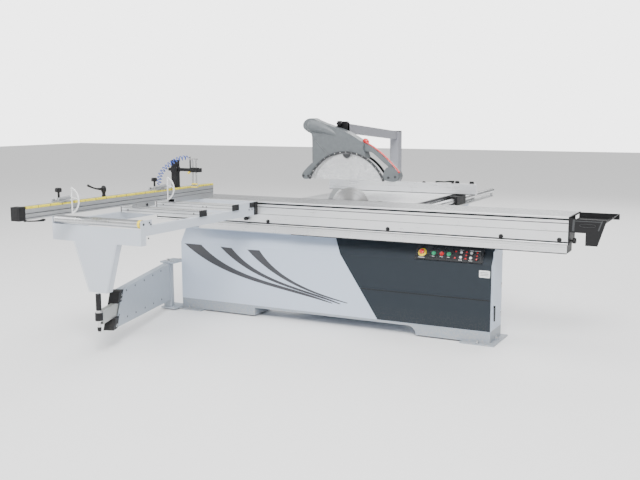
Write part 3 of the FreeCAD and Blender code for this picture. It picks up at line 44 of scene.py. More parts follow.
# Shared places, in millimetres.
BLADE = (80, 185, 842.5)
SCORER = (318, 185, 842.5)
ARCH = (55, 928)
ROLLER = (0, -1512, 873.7)
GUIDE_BAR = (660, 0, 860)
CARRIAGE_SPAN = (-1440, 1760)
GROOVE_SPAN = (-1439.6, 1759.6)
RIB_SPAN = (-1439.5, 1759.5)
PLANKS = (-930, -530)
PLANK_SPAN = (-1176, -516)
FENCE_SPAN = (-1999.5, -62.5)
RIP_SPAN = (-489, 799)
STOP_PLACE = (762, 60)


# ---------------------------------------------------------------- wiring
def add(tree, kind, inputs=None, **settings):
    """One shader node; an input given as a socket is linked, any other value is set."""
    node = tree.nodes.new("ShaderNode" + kind)
    for word, value in settings.items():
        setattr(node, word, value)
    for word, value in (inputs or {}).items():
        if isinstance(value, bpy.types.NodeSocket):
            tree.links.new(value, node.inputs[word])
        else:
            node.inputs[word].default_value = value
    return node


def calc(tree, operation, first, second=0.0):
    """A Math node's result."""
    return add(tree, "Math", {0: first, 1: second}, operation=operation).outputs[0]


def blended(tree, amount, first, second):
    """Two colours mixed."""
    return add(tree, "Mix", {0: amount, 6: first, 7: second}, data_type="RGBA").outputs[2]


def between(tree, value, low, high, to_low=0.0, to_high=1.0):
    """A value carried from one range to another, held at both ends."""
    return add(tree, "MapRange", {0: value, 1: low, 2: high, 3: to_low, 4: to_high}).outputs[0]


def noise(tree, where, scale, detail=4.0, rough=0.5):
    """Noise between 0 and 1."""
    return add(tree, "TexNoise", {"Vector": where, "Scale": scale, "Detail": detail,
                                  "Roughness": rough}).outputs[0]


SOCKETS = {"value": "NodeSocketFloat", "colour": "NodeSocketColor", "vector": "NodeSocketVector"}


def new_group(name, takes, gives):
    """An empty node group with named inputs and outputs, its input node and its output node."""
    tree = bpy.data.node_groups.new(name, "ShaderNodeTree")
    for word, (kind, value) in takes.items():
        socket = tree.interface.new_socket(word, in_out="INPUT", socket_type=SOCKETS[kind])
        socket.default_value = value
    for word, kind in gives.items():
        tree.interface.new_socket(word, in_out="OUTPUT", socket_type=SOCKETS[kind])
    return tree, tree.nodes.new("NodeGroupInput"), tree.nodes.new("NodeGroupOutput")


def give(tree, output, **results):
    """Link results to a group's outputs; an underscore in a word stands for a space."""
    for word, socket in results.items():
        tree.links.new(socket, output.inputs[word.replace("_", " ")])


def powder_group():
    """Powder coat: faint drift of tone, orange peel, rubbed patches and floor dust."""
    tree, takes, gives = new_group(
        "Powder coat",
        {"Colour": ("colour", (0.6, 0.6, 0.6, 1)), "Drift": ("value", 0.06),
         "Roughness": ("value", 0.4), "Peel": ("value", 0.12), "Dust": ("value", 0.25)},
        {"Colour": "colour", "Roughness": "value", "Normal": "vector"})
    where = add(tree, "TexCoord").outputs["Object"]
    broad = noise(tree, where, 2.2, 3.0)
    rubbed = noise(tree, where, 17.0, 6.0, 0.65)
    peel = noise(tree, where, 620.0, 2.0)
    tone = calc(tree, "MULTIPLY", calc(tree, "SUBTRACT", broad, 0.5), takes.outputs["Drift"])
    tone = calc(tree, "ADD", tone, calc(tree, "MULTIPLY", calc(tree, "SUBTRACT", rubbed, 0.5), 0.03))
    shade = add(tree, "HueSaturation", {"Value": calc(tree, "ADD", tone, 1.0),
                                        "Color": takes.outputs["Colour"]}).outputs[0]
    height = add(tree, "SeparateXYZ", {0: where}).outputs[2]
    low = between(tree, height, 0.0, 0.22, 1.0, 0.0)
    speck = between(tree, noise(tree, where, 90.0, 5.0, 0.7), 0.46, 0.62)
    settled = calc(tree, "MULTIPLY", calc(tree, "MULTIPLY", low, speck), takes.outputs["Dust"])
    shade = blended(tree, settled, shade, (0.50, 0.44, 0.36, 1))
    rough = calc(tree, "ADD", takes.outputs["Roughness"], between(tree, rubbed, 0.3, 0.7, -0.05, 0.09))
    rough = calc(tree, "ADD", rough, calc(tree, "MULTIPLY", settled, 0.4))
    bump = add(tree, "Bump", {"Height": peel, "Strength": takes.outputs["Peel"], "Distance": 0.0006})
    give(tree, gives, Colour=shade, Roughness=rough, Normal=bump.outputs[0])
    return tree


def drawn_group():
    """Extruded or ground metal: streaks along one direction, with fine scratches."""
    tree, takes, gives = new_group(
        "Drawn metal",
        {"Colour": ("colour", (0.7, 0.7, 0.7, 1)), "Stretch": ("vector", (2, 400, 400)),
         "Roughness": ("value", 0.3), "Depth": ("value", 0.1), "Contrast": ("value", 0.12)},
        {"Colour": "colour", "Roughness": "value", "Normal": "vector"})
    where = add(tree, "TexCoord").outputs["Object"]
    along = add(tree, "VectorMath", {0: where, 1: takes.outputs["Stretch"]}, operation="MULTIPLY").outputs[0]
    streak = noise(tree, along, 1.0, 5.0, 0.6)
    cloud = noise(tree, where, 6.0, 4.0, 0.6)
    tone = calc(tree, "MULTIPLY", calc(tree, "SUBTRACT", streak, 0.5), takes.outputs["Contrast"])
    tone = calc(tree, "ADD", tone, calc(tree, "MULTIPLY", calc(tree, "SUBTRACT", cloud, 0.5), 0.07))
    shade = add(tree, "HueSaturation", {"Value": calc(tree, "ADD", tone, 1.0),
                                        "Color": takes.outputs["Colour"]}).outputs[0]
    rough = calc(tree, "ADD", takes.outputs["Roughness"], between(tree, streak, 0.3, 0.7, -0.07, 0.07))
    rough = calc(tree, "ADD", rough, between(tree, cloud, 0.35, 0.65, -0.03, 0.06))
    bump = add(tree, "Bump", {"Height": streak, "Strength": takes.outputs["Depth"], "Distance": 0.0004})
    give(tree, gives, Colour=shade, Roughness=rough, Normal=bump.outputs[0])
    return tree


def moulded_group():
    """Moulded plastic: a pebbled grain, with handling marks."""
    tree, takes, gives = new_group(
        "Moulded plastic",
        {"Colour": ("colour", (0.03, 0.03, 0.03, 1)), "Grain": ("value", 900.0),
         "Roughness": ("value", 0.45), "Depth": ("value", 0.25)},
        {"Colour": "colour", "Roughness": "value", "Normal": "vector"})
    where = add(tree, "TexCoord").outputs["Object"]
    cells = add(tree, "TexVoronoi", {"Vector": where, "Scale": takes.outputs["Grain"]}).outputs[0]
    marks = noise(tree, where, 35.0, 6.0, 0.65)
    tone = between(tree, marks, 0.3, 0.7, 0.9, 1.12)
    shade = add(tree, "HueSaturation", {"Value": tone, "Color": takes.outputs["Colour"]}).outputs[0]
    rough = calc(tree, "ADD", takes.outputs["Roughness"], between(tree, marks, 0.3, 0.7, -0.07, 0.1))
    bump = add(tree, "Bump", {"Height": cells, "Strength": takes.outputs["Depth"], "Distance": 0.0003})
    give(tree, gives, Colour=shade, Roughness=rough, Normal=bump.outputs[0])
    return tree


def ribs_group():
    """Parallel grooves on the faces that look up: a mask of the grooves, from one coordinate."""
    tree, takes, gives = new_group(
        "Rib grooves", {"Across": ("vector", (0, 1, 0)), "Pitch": ("value", 0.016),
                        "Width": ("value", 0.25)}, {"Groove": "value"})
    where = add(tree, "TexCoord").outputs["Object"]
    place = add(tree, "VectorMath", {0: where, 1: takes.outputs["Across"]},
                operation="DOT_PRODUCT").outputs["Value"]
    share = calc(tree, "FRACT", calc(tree, "DIVIDE", place, takes.outputs["Pitch"]))
    middle = calc(tree, "ABSOLUTE", calc(tree, "SUBTRACT", share, 0.5))
    edge = calc(tree, "MULTIPLY", takes.outputs["Width"], 0.5)
    inside = calc(tree, "LESS_THAN", middle, edge)
    facing = add(tree, "SeparateXYZ", {0: add(tree, "NewGeometry").outputs["Normal"]}).outputs[2]
    upward = calc(tree, "GREATER_THAN", facing, 0.7)
    give(tree, gives, Groove=calc(tree, "MULTIPLY", inside, upward))
    return tree


POWDER, DRAWN, MOULDED, RIBS = powder_group(), drawn_group(), moulded_group(), ribs_group()


# ---------------------------------------------------------------- finishes
def finish(name, group, metallic=0.0, coat=0.0, shine=0.5, **inputs):
    """A material whose Principled shader takes colour, roughness and normal from one group."""
    material = bpy.data.materials.new(name)
    material.use_nodes = True
    tree = material.node_tree
    shader = tree.nodes["Principled BSDF"]
    effect = tree.nodes.new("ShaderNodeGroup")
    effect.node_tree = group
    for word, value in inputs.items():
        effect.inputs[word].default_value = value
    tree.links.new(effect.outputs["Colour"], shader.inputs["Base Color"])
    tree.links.new(effect.outputs["Roughness"], shader.inputs["Roughness"])
    tree.links.new(effect.outputs["Normal"], shader.inputs["Normal"])
    shader.inputs["Metallic"].default_value = metallic
    shader.inputs["Coat Weight"].default_value = coat
    shader.inputs["Specular IOR Level"].default_value = shine
    return material


def tinted(material, mask_of, colour, rough=None):
    """Lay a second colour over a finish where a mask is 1; mask_of gets the tree and returns it."""
    tree = material.node_tree
    shader = tree.nodes["Principled BSDF"]
    mask = mask_of(tree)
    below = shader.inputs["Base Color"].links[0].from_socket
    tree.links.new(blended(tree, mask, below, colour), shader.inputs["Base Color"])
    if rough is not None:
        below = shader.inputs["Roughness"].links[0].from_socket
        share = add(tree, "Mix", {0: mask, 2: below, 3: rough}).outputs[0]
        tree.links.new(share, shader.inputs["Roughness"])
    return material


def ribbed_with_groove_shade(name, across, pitch, width, **inputs):
    """Anodised aluminium whose upper faces carry grooves, darkened in colour as painted shade."""
    def grooves(tree):
        effect = tree.nodes.new("ShaderNodeGroup")
        effect.node_tree = RIBS
        effect.inputs["Across"].default_value = across
        effect.inputs["Pitch"].default_value = pitch
        effect.inputs["Width"].default_value = width
        return calc(tree, "MULTIPLY", effect.outputs["Groove"], 0.6)
    # Painted shade: the near-black colour laid on the groove mask stands for the shade inside the grooves.
    return tinted(finish(name, DRAWN, **inputs), grooves, (0.10, 0.10, 0.11, 1), 0.5)


ALONG_X, ALONG_Y = (3, 500, 500), (500, 3, 500)
light_coat = finish("Light grey powder coat", POWDER, Colour=(0.48, 0.55, 0.66, 1), Roughness=0.36)
dark_coat = finish("Slate powder coat", POWDER, shine=0.3, Colour=(0.014, 0.020, 0.027, 1), Roughness=0.42,
                   Drift=0.12, Dust=0.06)
sheet_coat = finish("Pale sheet powder coat", POWDER, Colour=(0.50, 0.54, 0.60, 1), Roughness=0.38)
# Painted shade: the arm takes the pale sheet coat darkened, to stand for the shade on it.
arm_coat_shaded = finish("Arm coat darkened for painted shade", POWDER, Colour=(0.34, 0.385, 0.44, 1), Roughness=0.4)
post_coat = finish("Grey post coat", POWDER, Colour=(0.25, 0.255, 0.285, 1), Roughness=0.4)
# Painted shade: the light coat's hue, darkened for the plinth, stands for the shade under the fascia; the
# dust on it is real.
plinth_coat_shaded = finish("Plinth coat darkened for painted shade", POWDER, Colour=(0.27, 0.31, 0.36, 1), Roughness=0.42, Dust=0.5)
# Also laid as black strips that paint the shade in the carriage's and planks' grooves, under the fascia's
# crease and under the rail.
black_coat_and_shade = finish("Black textured paint", POWDER, shine=0.25, Colour=(0.010, 0.010, 0.011, 1),
                    Roughness=0.5, Peel=0.5, Dust=0.1)
stripe_paint = finish("Stripe paint", POWDER, shine=0.35, Colour=(0.055, 0.056, 0.062, 1),
                      Roughness=0.36, Dust=0.0)
motor_paint = finish("Motor paint", POWDER, Colour=(0.10, 0.14, 0.18, 1), Roughness=0.35)
white_paint = finish("White enamel", POWDER, Colour=(0.80, 0.81, 0.82, 1), Roughness=0.3, Peel=0.05)
carriage_metal = ribbed_with_groove_shade("Ribbed carriage aluminium", (0, 1, 0), 0.0175, 0.26, metallic=0.72,
                        Colour=(0.78, 0.79, 0.80, 1), Stretch=ALONG_X, Roughness=0.34)
plank_metal = ribbed_with_groove_shade("Ribbed plank aluminium", (0, 1, 0), 0.0135, 0.3, metallic=0.72,
                     Colour=(0.76, 0.77, 0.78, 1), Stretch=ALONG_X, Roughness=0.34)
rail_metal = finish("Rail aluminium", DRAWN, metallic=0.75, Colour=(0.72, 0.73, 0.74, 1), Stretch=ALONG_X,
                    Roughness=0.3)
fence_metal = finish("Fence aluminium", DRAWN, metallic=0.72, Colour=(0.40, 0.41, 0.42, 1),
                     Stretch=ALONG_Y, Roughness=0.34)
rip_metal = finish("Bright fence aluminium", DRAWN, metallic=0.6, Colour=(0.82, 0.83, 0.85, 1),
                   Stretch=ALONG_X, Roughness=0.32)
bar_steel = finish("Ground bar steel", DRAWN, metallic=0.95, Colour=(0.55, 0.56, 0.57, 1),
                   Stretch=(300, 20, 300), Roughness=0.24)
roller_steel = finish("Roller steel", DRAWN, metallic=0.9, Colour=(0.52, 0.53, 0.54, 1),
                      Stretch=(300, 6, 6), Roughness=0.3, Depth=0.02, Contrast=0.05)
column_steel = finish("Bright column steel", DRAWN, metallic=0.95, Colour=(0.60, 0.60, 0.60, 1),
                      Stretch=(20, 20, 500), Roughness=0.22)
arm_steel = finish("Inner arm steel", DRAWN, metallic=0.6, Colour=(0.42, 0.43, 0.41, 1),
                   Stretch=(30, 30, 500), Roughness=0.4)
table_iron = finish("Ground table iron", DRAWN, metallic=0.65, Colour=(0.70, 0.71, 0.72, 1),
                    Stretch=(6, 260, 260), Roughness=0.33, Contrast=0.2)
knife_steel = finish("Knife steel", DRAWN, metallic=0.9, Colour=(0.50, 0.51, 0.52, 1),
                     Stretch=(40, 40, 300), Roughness=0.3, Depth=0.03)


def painted_fan_light_and_lathe_rings(tree):
    """Painted highlight and shade on a ground disc: two opposed fans of painted light, the fourth power of
    the cosine of twice the angle, with faint turned rings.
    """
    where = add(tree, "SeparateXYZ", {0: add(tree, "TexCoord").outputs["Object"]})
    across = calc(tree, "SUBTRACT", where.outputs[0], BLADE[0] * MM)
    above = calc(tree, "SUBTRACT", where.outputs[2], BLADE[2] * MM)
    turn = calc(tree, "ADD", calc(tree, "ARCTAN2", above, across), 0.5)
    wave = calc(tree, "COSINE", calc(tree, "MULTIPLY", turn, 2.0))
    reach = calc(tree, "SQRT", calc(tree, "ADD", calc(tree, "MULTIPLY", across, across),
                                    calc(tree, "MULTIPLY", above, above)))
    lathe = calc(tree, "MULTIPLY", calc(tree, "SINE", calc(tree, "MULTIPLY", reach, 5200.0)), 0.08)
    fan = calc(tree, "POWER", calc(tree, "ABSOLUTE", wave), 4.0)
    return calc(tree, "ADD", calc(tree, "MULTIPLY", calc(tree, "SUBTRACT", 1.0, fan), 0.75), lathe)


# Painted highlight: the blade's colour is darkened outside two fans, which stand for the reflections on its
# ground face.
blade_steel = tinted(finish("Blade steel", DRAWN, metallic=0.8, Colour=(0.80, 0.80, 0.81, 1),
                            Stretch=(8, 8, 8), Roughness=0.3, Depth=0.01, Contrast=0.05),
                     painted_fan_light_and_lathe_rings, (0.27, 0.265, 0.26, 1))
carbide = finish("Carbide", DRAWN, metallic=0.8, Colour=(0.30, 0.29, 0.28, 1), Stretch=(600, 600, 600),
                 Roughness=0.35)
cast_paint = finish("Machined casting", DRAWN, metallic=0.5, Colour=(0.34, 0.35, 0.36, 1),
                    Stretch=(120, 120, 120), Roughness=0.45, Contrast=0.25)
# Also laid as the black strip that paints the shadow along the rip fence's foot.
black_plastic_and_shadow = finish("Black moulded plastic", MOULDED, shine=0.3, Colour=(0.009, 0.009, 0.010, 1))
hood_plastic = finish("Grey moulded hood", MOULDED, Colour=(0.115, 0.128, 0.136, 1), Roughness=0.4,
                      Grain=700.0)
# Also laid as dark strips that paint the shade between the carriage's ribs, in the fence's grooves and in the
# table's grooves.
rim_plastic_and_shade = finish("Dark hood rim", MOULDED, Colour=(0.035, 0.037, 0.04, 1), Roughness=0.42)
panel_film = finish("Black panel film", MOULDED, Colour=(0.012, 0.013, 0.015, 1), Roughness=0.28, Depth=0.08)
green_cap = finish("Green key cap", MOULDED, coat=0.4, Colour=(0.01, 0.36, 0.16, 1), Roughness=0.25,
                   Depth=0.04)
red_cap = finish("Red key cap", MOULDED, coat=0.4, Colour=(0.62, 0.012, 0.015, 1), Roughness=0.25,
                 Depth=0.04)
yellow_plastic = finish("Yellow plastic", MOULDED, coat=0.2, Colour=(0.82, 0.62, 0.02, 1), Roughness=0.35,
                        Depth=0.08)
white_plastic = finish("White key cap", MOULDED, coat=0.3, Colour=(0.74, 0.75, 0.75, 1), Roughness=0.3,
                       Depth=0.05)
hose_blue = finish("Blue air hose", MOULDED, coat=0.5, Colour=(0.008, 0.06, 0.36, 1), Roughness=0.22,
                   Depth=0.04)
belt_rubber = finish("Belt rubber", MOULDED, Colour=(0.02, 0.02, 0.02, 1), Roughness=0.7, Depth=0.5)


def clear_sheet(name, tint, weight, roughness):
    """Clear polycarbonate with faint rubbing marks."""
    material = finish(name, MOULDED, Colour=tint, Roughness=roughness, Depth=0.02, Grain=60.0)
    shader = material.node_tree.nodes["Principled BSDF"]
    shader.inputs["Transmission Weight"].default_value = weight
    shader.inputs["IOR"].default_value = 1.2
    return material


clear_guard = clear_sheet("Clear guard sheet", (0.93, 0.94, 0.95, 1), 0.75, 0.12)
stop_acrylic = clear_sheet("Stop plate acrylic", (0.86, 0.87, 0.88, 1), 0.3, 0.18)


def scale_mask(tree):
    """Tick marks every 10 mm along Y, longer and bolder every 100 mm."""
    where = add(tree, "TexCoord").outputs["Object"]
    place = add(tree, "SeparateXYZ", {0: where}).outputs[1]
    marks = []
    for pitch, width in ((0.01, 0.14), (0.1, 0.05)):
        share = calc(tree, "FRACT", calc(tree, "DIVIDE", place, pitch))
        marks.append(calc(tree, "LESS_THAN", share, width))
    return calc(tree, "MAXIMUM", *marks)


scale_yellow = tinted(
    finish("Yellow scale", MOULDED, Colour=(0.78, 0.66, 0.03, 1), Roughness=0.35, Depth=0.03),
    scale_mask, (0.02, 0.02, 0.02, 1))

LOOKS = {
    light_coat: "base_frame fascia_light saw_cabinet end_door extension_struts",
    dark_coat: "fascia_dark",
    sheet_coat: "outrigger_frame outrigger_leg",
    arm_coat_shaded: "arm_box hinge_bracket",
    post_coat: "guard_post",
    plinth_coat_shaded: "plinth",
    black_coat_and_shade: "trunnion_brackets hood_clamp push_tray arm_end_bracket tilt_frame rip_fence_casting "
                "clamp_column",
    motor_paint: "motor",
    white_paint: "extension_table",
    carriage_metal: "carriage",
    plank_metal: "outrigger_planks",
    rail_metal: "fixed_rail table_insert",
    fence_metal: "crosscut_fence fence_extension stop_blocks",
    rip_metal: "rip_fence_profile",
    bar_steel: "guide_bar main_arbor",
    roller_steel: "front_roller",
    column_steel: "clamp_rods arm_head",
    arm_steel: "inner_arm",
    table_iron: "main_table",
    knife_steel: "riving_knife",
    blade_steel: "main_blade scoring_blade",
    cast_paint: "arbor_housing motor_pulley",
    black_plastic_and_shadow: "carriage_end_plates locking_knob door_latch index_lever",
    panel_film: "control_panel",
    green_cap: "start_key scoring_key",
    red_cap: "stop_key emergency_stop_button",
    white_plastic: "raise_key lower_key tilt_up_key tilt_down_key",
    hood_plastic: "hood",
    clear_guard: "hood_guard",
    stop_acrylic: "flip_stop_outer flip_stop_inner",
    hose_blue: "air_hose",
    belt_rubber: "drive_belt",
}
for material, names in LOOKS.items():
    for name in names.split():
        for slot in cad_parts[name].material_slots:
            slot.material = material


# ---------------------------------------------------------------- surfaces
def piece(name, points, faces, material, body, bevel=0.0, sharp=35.0, stands_for=()):
    """A mesh from arrays, its faces turned outwards and its sharp edges marked, riding on a body."""
    mesh = bpy.data.meshes.new(name)
    mesh.from_pydata(np.asarray(points, float).tolist(), [], faces)
    mesh.validate()
    outward(mesh)
    mesh.shade_smooth()
    mesh.set_sharp_from_angle(angle=math.radians(sharp))
    mesh.materials.append(material)
    item = bpy.data.objects.new(name, mesh)
    bpy.context.scene.collection.objects.link(item)
    if bevel:
        edge = item.modifiers.new("Edge", "BEVEL")
        edge.width = bevel
        edge.segments = 2
        edge.limit_method = "ANGLE"
        edge.angle_limit = math.radians(sharp)
        edge.harden_normals = True
    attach(item, body)
    if stands_for:
        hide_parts(*stands_for)
    return item


def outward(mesh):
    """Merge doubles and point every face outwards."""
    work = bmesh.new()
    work.from_mesh(mesh)
    bmesh.ops.remove_doubles(work, verts=work.verts, dist=1e-6)
    bmesh.ops.recalc_face_normals(work, faces=work.faces)
    work.to_mesh(mesh)
    work.free()


def skin(rings, around=True, caps=True):
    """Points and faces of a surface through rings of points, an array of rings by points by 3."""
    rings = np.asarray(rings, float)
    count, size = rings.shape[:2]
    index = np.arange(count * size).reshape(count, size)
    right = np.roll(index, -1, axis=1) if around else index[:, 1:]
    left = index if around else index[:, :-1]
    quads = np.stack([left[:-1], right[:-1], right[1:], left[1:]], axis=-1).reshape(-1, 4)
    faces = quads.tolist()
    if caps and around:
        faces += [index[0].tolist(), index[-1].tolist()]
    return rings.reshape(-1, 3), faces


def joined(parts):
    """Several (points, faces) pairs as one."""
    points, faces, start = [], [], 0
    for some, these in parts:
        points.append(np.asarray(some, float))
        faces += [[corner + start for corner in face] for face in these]
        start += len(some)
    return np.concatenate(points), faces


PLACES = {"x": (1, 2, 0), "y": (0, 2, 1), "z": (0, 1, 2)}


def slab(outline, axis, low, high):
    """An outline in the two other axes, carried straight from low to high along an axis."""
    outline = np.asarray(outline, float)
    rings = np.zeros((2, len(outline), 3))
    first, second, third = PLACES[axis]
    rings[:, :, first] = outline[:, 0]
    rings[:, :, second] = outline[:, 1]
    rings[0, :, third] = low
    rings[1, :, third] = high
    return skin(rings)


def block(x, y, z):
    """A six-sided block."""
    return slab([(x[0], y[0]), (x[1], y[0]), (x[1], y[1]), (x[0], y[1])], "z", *z)


def turned(profile, centre, axis, steps=40):
    """A profile of (radius, distance) rows turned about an axis through a centre."""
    profile = np.asarray(profile, float)
    angle = np.linspace(0, 2 * np.pi, steps, endpoint=False)
    first, second, third = PLACES[axis]
    rings = np.zeros((len(profile), steps, 3))
    rings[:, :, first] = profile[:, :1] * np.cos(angle)
    rings[:, :, second] = profile[:, :1] * np.sin(angle)
    rings[:, :, third] = profile[:, 1:]
    return skin(rings + np.asarray(centre, float))


def ring(profile, centre, axis, steps=40):
    """A closed profile of (radius, distance) rows turned about an axis: a ring with an open middle."""
    points, faces = turned([*profile, profile[0]], centre, axis, steps)
    return points, faces[:-2]


def softened(outline, passes=2, keep=0.25):
    """Corners cut again and again: each pass puts two points on every side, a share in from its ends."""
    outline = np.asarray(outline, float)
    for _ in range(passes):
        after = np.roll(outline, -1, axis=0)
        outline = np.stack([outline * (1 - keep) + after * keep, outline * keep + after * (1 - keep)],
                           axis=1).reshape(-1, outline.shape[1])
    return outline


def eased(line, passes=2):
    """An open line's corners cut again and again, its two ends kept."""
    line = np.asarray(line, float)
    for _ in range(passes):
        inner = np.stack([line[:-1] * 0.75 + line[1:] * 0.25, line[:-1] * 0.25 + line[1:] * 0.75], axis=1)
        line = np.concatenate([line[:1], inner.reshape(-1, line.shape[1]), line[-1:]])
    return line


def swept(path, radii, steps=20, up=(0, 1, 0), flat=1.0):
    """A round section carried along a path with its own radius at each point."""
    path = np.asarray(path, float)
    ahead = np.gradient(path, axis=0)
    ahead /= np.linalg.norm(ahead, axis=1, keepdims=True)
    side = np.cross(ahead, np.asarray(up, float))
    side /= np.linalg.norm(side, axis=1, keepdims=True)
    rise = np.cross(side, ahead)
    angle = np.linspace(0, 2 * np.pi, steps, endpoint=False)
    radii = np.broadcast_to(np.asarray(radii, float), len(path))[:, None, None]
    rings = (path[:, None, :] + radii * np.cos(angle)[None, :, None] * side[:, None, :]
             + flat * radii * np.sin(angle)[None, :, None] * rise[:, None, :])
    return skin(rings)


def dome(radius, height, at, axis, steps=18):
    """A low screw head: a quarter ellipse turned about an axis, rising from its foot."""
    turn = np.linspace(0, np.pi / 2, 6)
    rows = np.stack([abs(radius) * np.cos(turn), height * np.sin(turn)], axis=1)
    rows[-1, 0] = abs(radius) * 0.02
    rows = np.concatenate([[[abs(radius), 0.0]], rows])
    return turned(rows, at, axis, steps)


def socket_screw(radius, height, at, axis, sign=1, steps=24):
    """A round screw head with a sunk hexagon's round mouth, seen from its end."""
    rows = [(radius, 0), (radius, 0.8 * height), (0.86 * radius, height), (0.5 * radius, height),
            (0.45 * radius, 0.5 * height), (0.02 * radius, 0.5 * height)]
    return turned([(r, sign * h) for r, h in rows], at, axis, steps)


def knob(radius, height, at, axis="z", lobes=5, depth=0.12, sign=1):
    """A lobed clamping knob: its radius swells and shrinks with the angle, and its top is domed."""
    heights = np.array([0, 0.08, 0.5, 0.85, 0.97, 1.0])
    widths = np.array([0.8, 1.0, 1.0, 0.93, 0.7, 0.02])
    angle = np.linspace(0, 2 * np.pi, 60, endpoint=False)
    wave = 1 - depth * (0.5 - 0.5 * np.cos(lobes * angle))
    first, second, third = PLACES[axis]
    rings = np.zeros((len(heights), len(angle), 3))
    rings[:, :, first] = radius * widths[:, None] * wave * np.cos(angle)
    rings[:, :, second] = radius * widths[:, None] * wave * np.sin(angle)
    rings[:, :, third] = (sign * height * heights)[:, None]
    return skin(rings + np.asarray(at, float))


def put(name, parts, material, body, bevel=0.0, sharp=35.0, stands_for=()):
    """One piece from several (points, faces) pairs given in millimetres."""
    points, faces = joined(parts)
    return piece(name, points * MM, faces, material, body, bevel * MM, sharp, stands_for)


def moved(part, matrix, origin):
    """A part turned by a matrix whose rows are its own axes, and set down at an origin."""
    points, faces = part
    return points @ np.asarray(matrix, float) + np.asarray(origin, float), faces


def arc(centre, radius, first, last, count=40):
    """Points on a circle between two angles in degrees."""
    angle = np.radians(np.linspace(first, last, count))
    return np.stack([centre[0] + radius * np.cos(angle), centre[1] + radius * np.sin(angle)], axis=1)


# ---------------------------------------------------------------- air hose, first of all
HOSE = [(-1085, -618, 1028), (-1085, -618, 1088), (-1058, -592, 1148), (-1008, -556, 1196),
        (-956, -522, 1226), (-902, -502, 1228)]
HOSE_OUTER, HOSE_WIRE, HOSE_PITCH = 19.0, 6.0, 24.0


def spline(name, points, thickness=0.0):
    """A NURBS curve through the frame of its points, in metres."""
    curve = bpy.data.curves.new(name, "CURVE")
    curve.dimensions = "3D"
    line = curve.splines.new("NURBS")
    line.points.add(len(points) - 1)
    flat = np.ones((len(points), 4))
    flat[:, :3] = points
    line.points.foreach_set("co", flat.ravel())
    line.order_u = 3
    line.use_endpoint_u = True
    line.resolution_u = 6
    curve.bevel_depth = thickness
    curve.bevel_resolution = 4
    curve.use_fill_caps = True
    item = bpy.data.objects.new(name, curve)
    bpy.context.scene.collection.objects.link(item)
    return item


def build_hose():
    """Coil: a point turns about the route at a steady pitch, on a circle square to the route."""
    route = spline("hose_route", np.array(HOSE) * MM)
    route.data.splines[0].resolution_u = 40
    bpy.context.view_layer.update()
    mesh = bpy.data.meshes.new_from_object(route.evaluated_get(bpy.context.evaluated_depsgraph_get()))
    line = np.empty(len(mesh.vertices) * 3)
    mesh.vertices.foreach_get("co", line)
    line = line.reshape(-1, 3)
    bpy.data.objects.remove(route)
    steps = np.linalg.norm(np.diff(line, axis=0), axis=1)
    far = np.concatenate([[0], np.cumsum(steps)])
    turns = round(far[-1] / (HOSE_PITCH * MM))
    share = np.linspace(0, far[-1], turns * 24)
    centre = np.stack([np.interp(share, far, line[:, axis]) for axis in range(3)], axis=1)
    ahead = np.gradient(centre, axis=0)
    ahead /= np.linalg.norm(ahead, axis=1, keepdims=True)
    side = np.cross(ahead, np.array([0.55, -0.83, 0.0]))
    side /= np.linalg.norm(side, axis=1, keepdims=True)
    rise = np.cross(side, ahead)
    angle = 2 * np.pi * turns * share / far[-1]
    reach = (HOSE_OUTER - HOSE_WIRE / 2) * MM * np.clip(np.minimum(share, far[-1] - share) / 0.016, 0.12, 1)
    coil = centre + reach[:, None] * (np.cos(angle)[:, None] * side + np.sin(angle)[:, None] * rise)
    item = spline("coiled_hose", coil, HOSE_WIRE / 2 * MM)
    item.data.materials.append(hose_blue)
    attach(item, "fence")
    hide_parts("air_hose")


build_hose()


